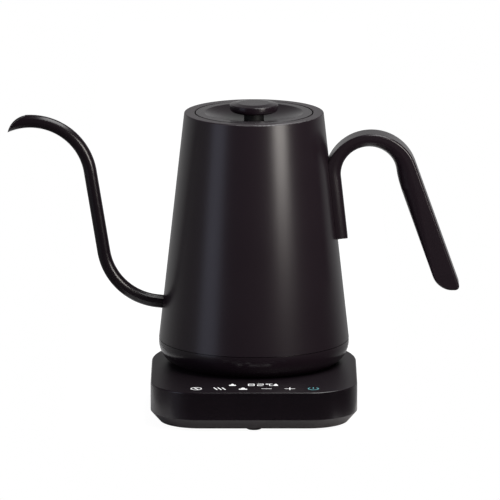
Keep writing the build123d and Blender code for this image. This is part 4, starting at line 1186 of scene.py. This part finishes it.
def floor():
    """Plain pale floor, white to the eye where no shadow falls."""
    plane = start(
        bpy.ops.mesh.primitive_plane_add, (FLOOR_RIGHT - FLOOR_LEFT, FLOOR_BACK - FLOOR_FRONT, 1),
        size=MM, location=spot((FLOOR_LEFT + FLOOR_RIGHT) / 2, (FLOOR_FRONT + FLOOR_BACK) / 2, 0),
    )
    plane.name = "floor"
    material, tree, shader, place = new_material("pale_floor")
    paper = add_node(tree, "ShaderNodeTexNoise", {"Vector": place, "Scale": per_mm(3.0), "Detail": 2.0})
    colour = add_node(
        tree, "ShaderNodeMix",
        {"Factor": paper.outputs["Fac"], "A": linear("#f4f4f4"), "B": linear("#f8f8f8")},
        data_type="RGBA",
    )
    fill_inputs(tree, shader, {"Base Color": colour.outputs["Result"], "Roughness": 0.9})
    glow = add_node(tree, "ShaderNodeEmission", {"Color": linear("#ffffff"), "Strength": FLOOR_GLOW})
    path = add_node(tree, "ShaderNodeLightPath")
    share = add_node(
        tree, "ShaderNodeMath",
        {0: path.outputs["Is Camera Ray"], 1: FLOOR_GLOW_SHARE}, operation="MULTIPLY",
    )
    mixed = add_node(tree, "ShaderNodeMixShader", {
        0: share.outputs["Value"], 1: shader.outputs["BSDF"], 2: glow.outputs["Emission"],
    })
    fill_inputs(tree, tree.nodes["Material Output"], {"Surface": mixed.outputs["Shader"]})
    plane.data.materials.append(material)


sheet = powder_coated_steel("powder_coated_sheet", smoothest=0.28, roughest=0.31, waviness=0.1)
tube = powder_coated_steel("powder_coated_tube", smoothest=0.23, roughest=0.26, waviness=0.02)
plastic = moulded_abs("moulded_abs", smoothest=0.26, roughest=0.31)
smooth_plastic = moulded_abs("smooth_moulded_abs", smoothest=0.22, roughest=0.27)
matt_topped = moulded_abs("matt_topped_abs", smoothest=0.22, roughest=0.27, top_roughness=0.17)
rubber = moulded_rubber()
zinc = zinc_plated_steel()
white_film = backlit_film("white_backlit_film", "#ffffff", brightness=1.2)
teal_film = backlit_film("teal_backlit_film", "#78c8d0", brightness=0.8)

dress(sheet, "vessel_shell")
dress(tube, "spout")
dress(smooth_plastic, "bottom_cover", "lid_cover", "lid_knob")
dress(matt_topped, "base_housing")
dress(plastic, "handle_grip", "handle_cover")
dress(etched_abs(), "base_tray")
dress(rubber, "feet", "cord_gland")
dress(moulded_silicone(), "lid_seal", "touch_pads")
dress(brushed_stainless(), "element_plate", "handle_bracket", "lid_plug", "temperature_sensor")
dress(zinc, "base_screws", "bottom_screws", "carrier_screws", "connector_screws", "handle_screws",
      "knob_screw")
dress(die_cast_aluminium(), "heat_spreader", "heating_element")
dress(drawn_brass(), "base_contacts", "plug_pin", "plug_ring")
dress(glass_filled_nylon(), "base_connector", "knob_stem", "plug_carrier", "plug_housing")
dress(coated_laminate(), "control_board", "power_board")
dress(cast_epoxy(), "buzzer", "display_module", "filter_capacitor", "power_relay", "thermal_cutouts")
dress(frosted_polycarbonate(), "light_guide")
dress(braided_glass_sleeve(), "base_leads", "heater_leads")
dress(extruded_pvc_ribbon(), "ribbon_cable")

handle(plastic)
foot_set(rubber)
cross_screws("base_cross_screws", zinc, "base", "base_screws", BASE_SCREW_R, BASE_SCREW_HEAD_R,
             BASE_SCREW_HEAD, BASE_SCREW_SPOTS)
cross_screws("cover_cross_screws", zinc, "kettle", "bottom_screws", COVER_SCREW_R, COVER_SCREW_HEAD_R,
             COVER_SCREW_HEAD, COVER_SCREW_SPOTS)
lit_panel(white_film, teal_film)
camera()
studio()
floor()
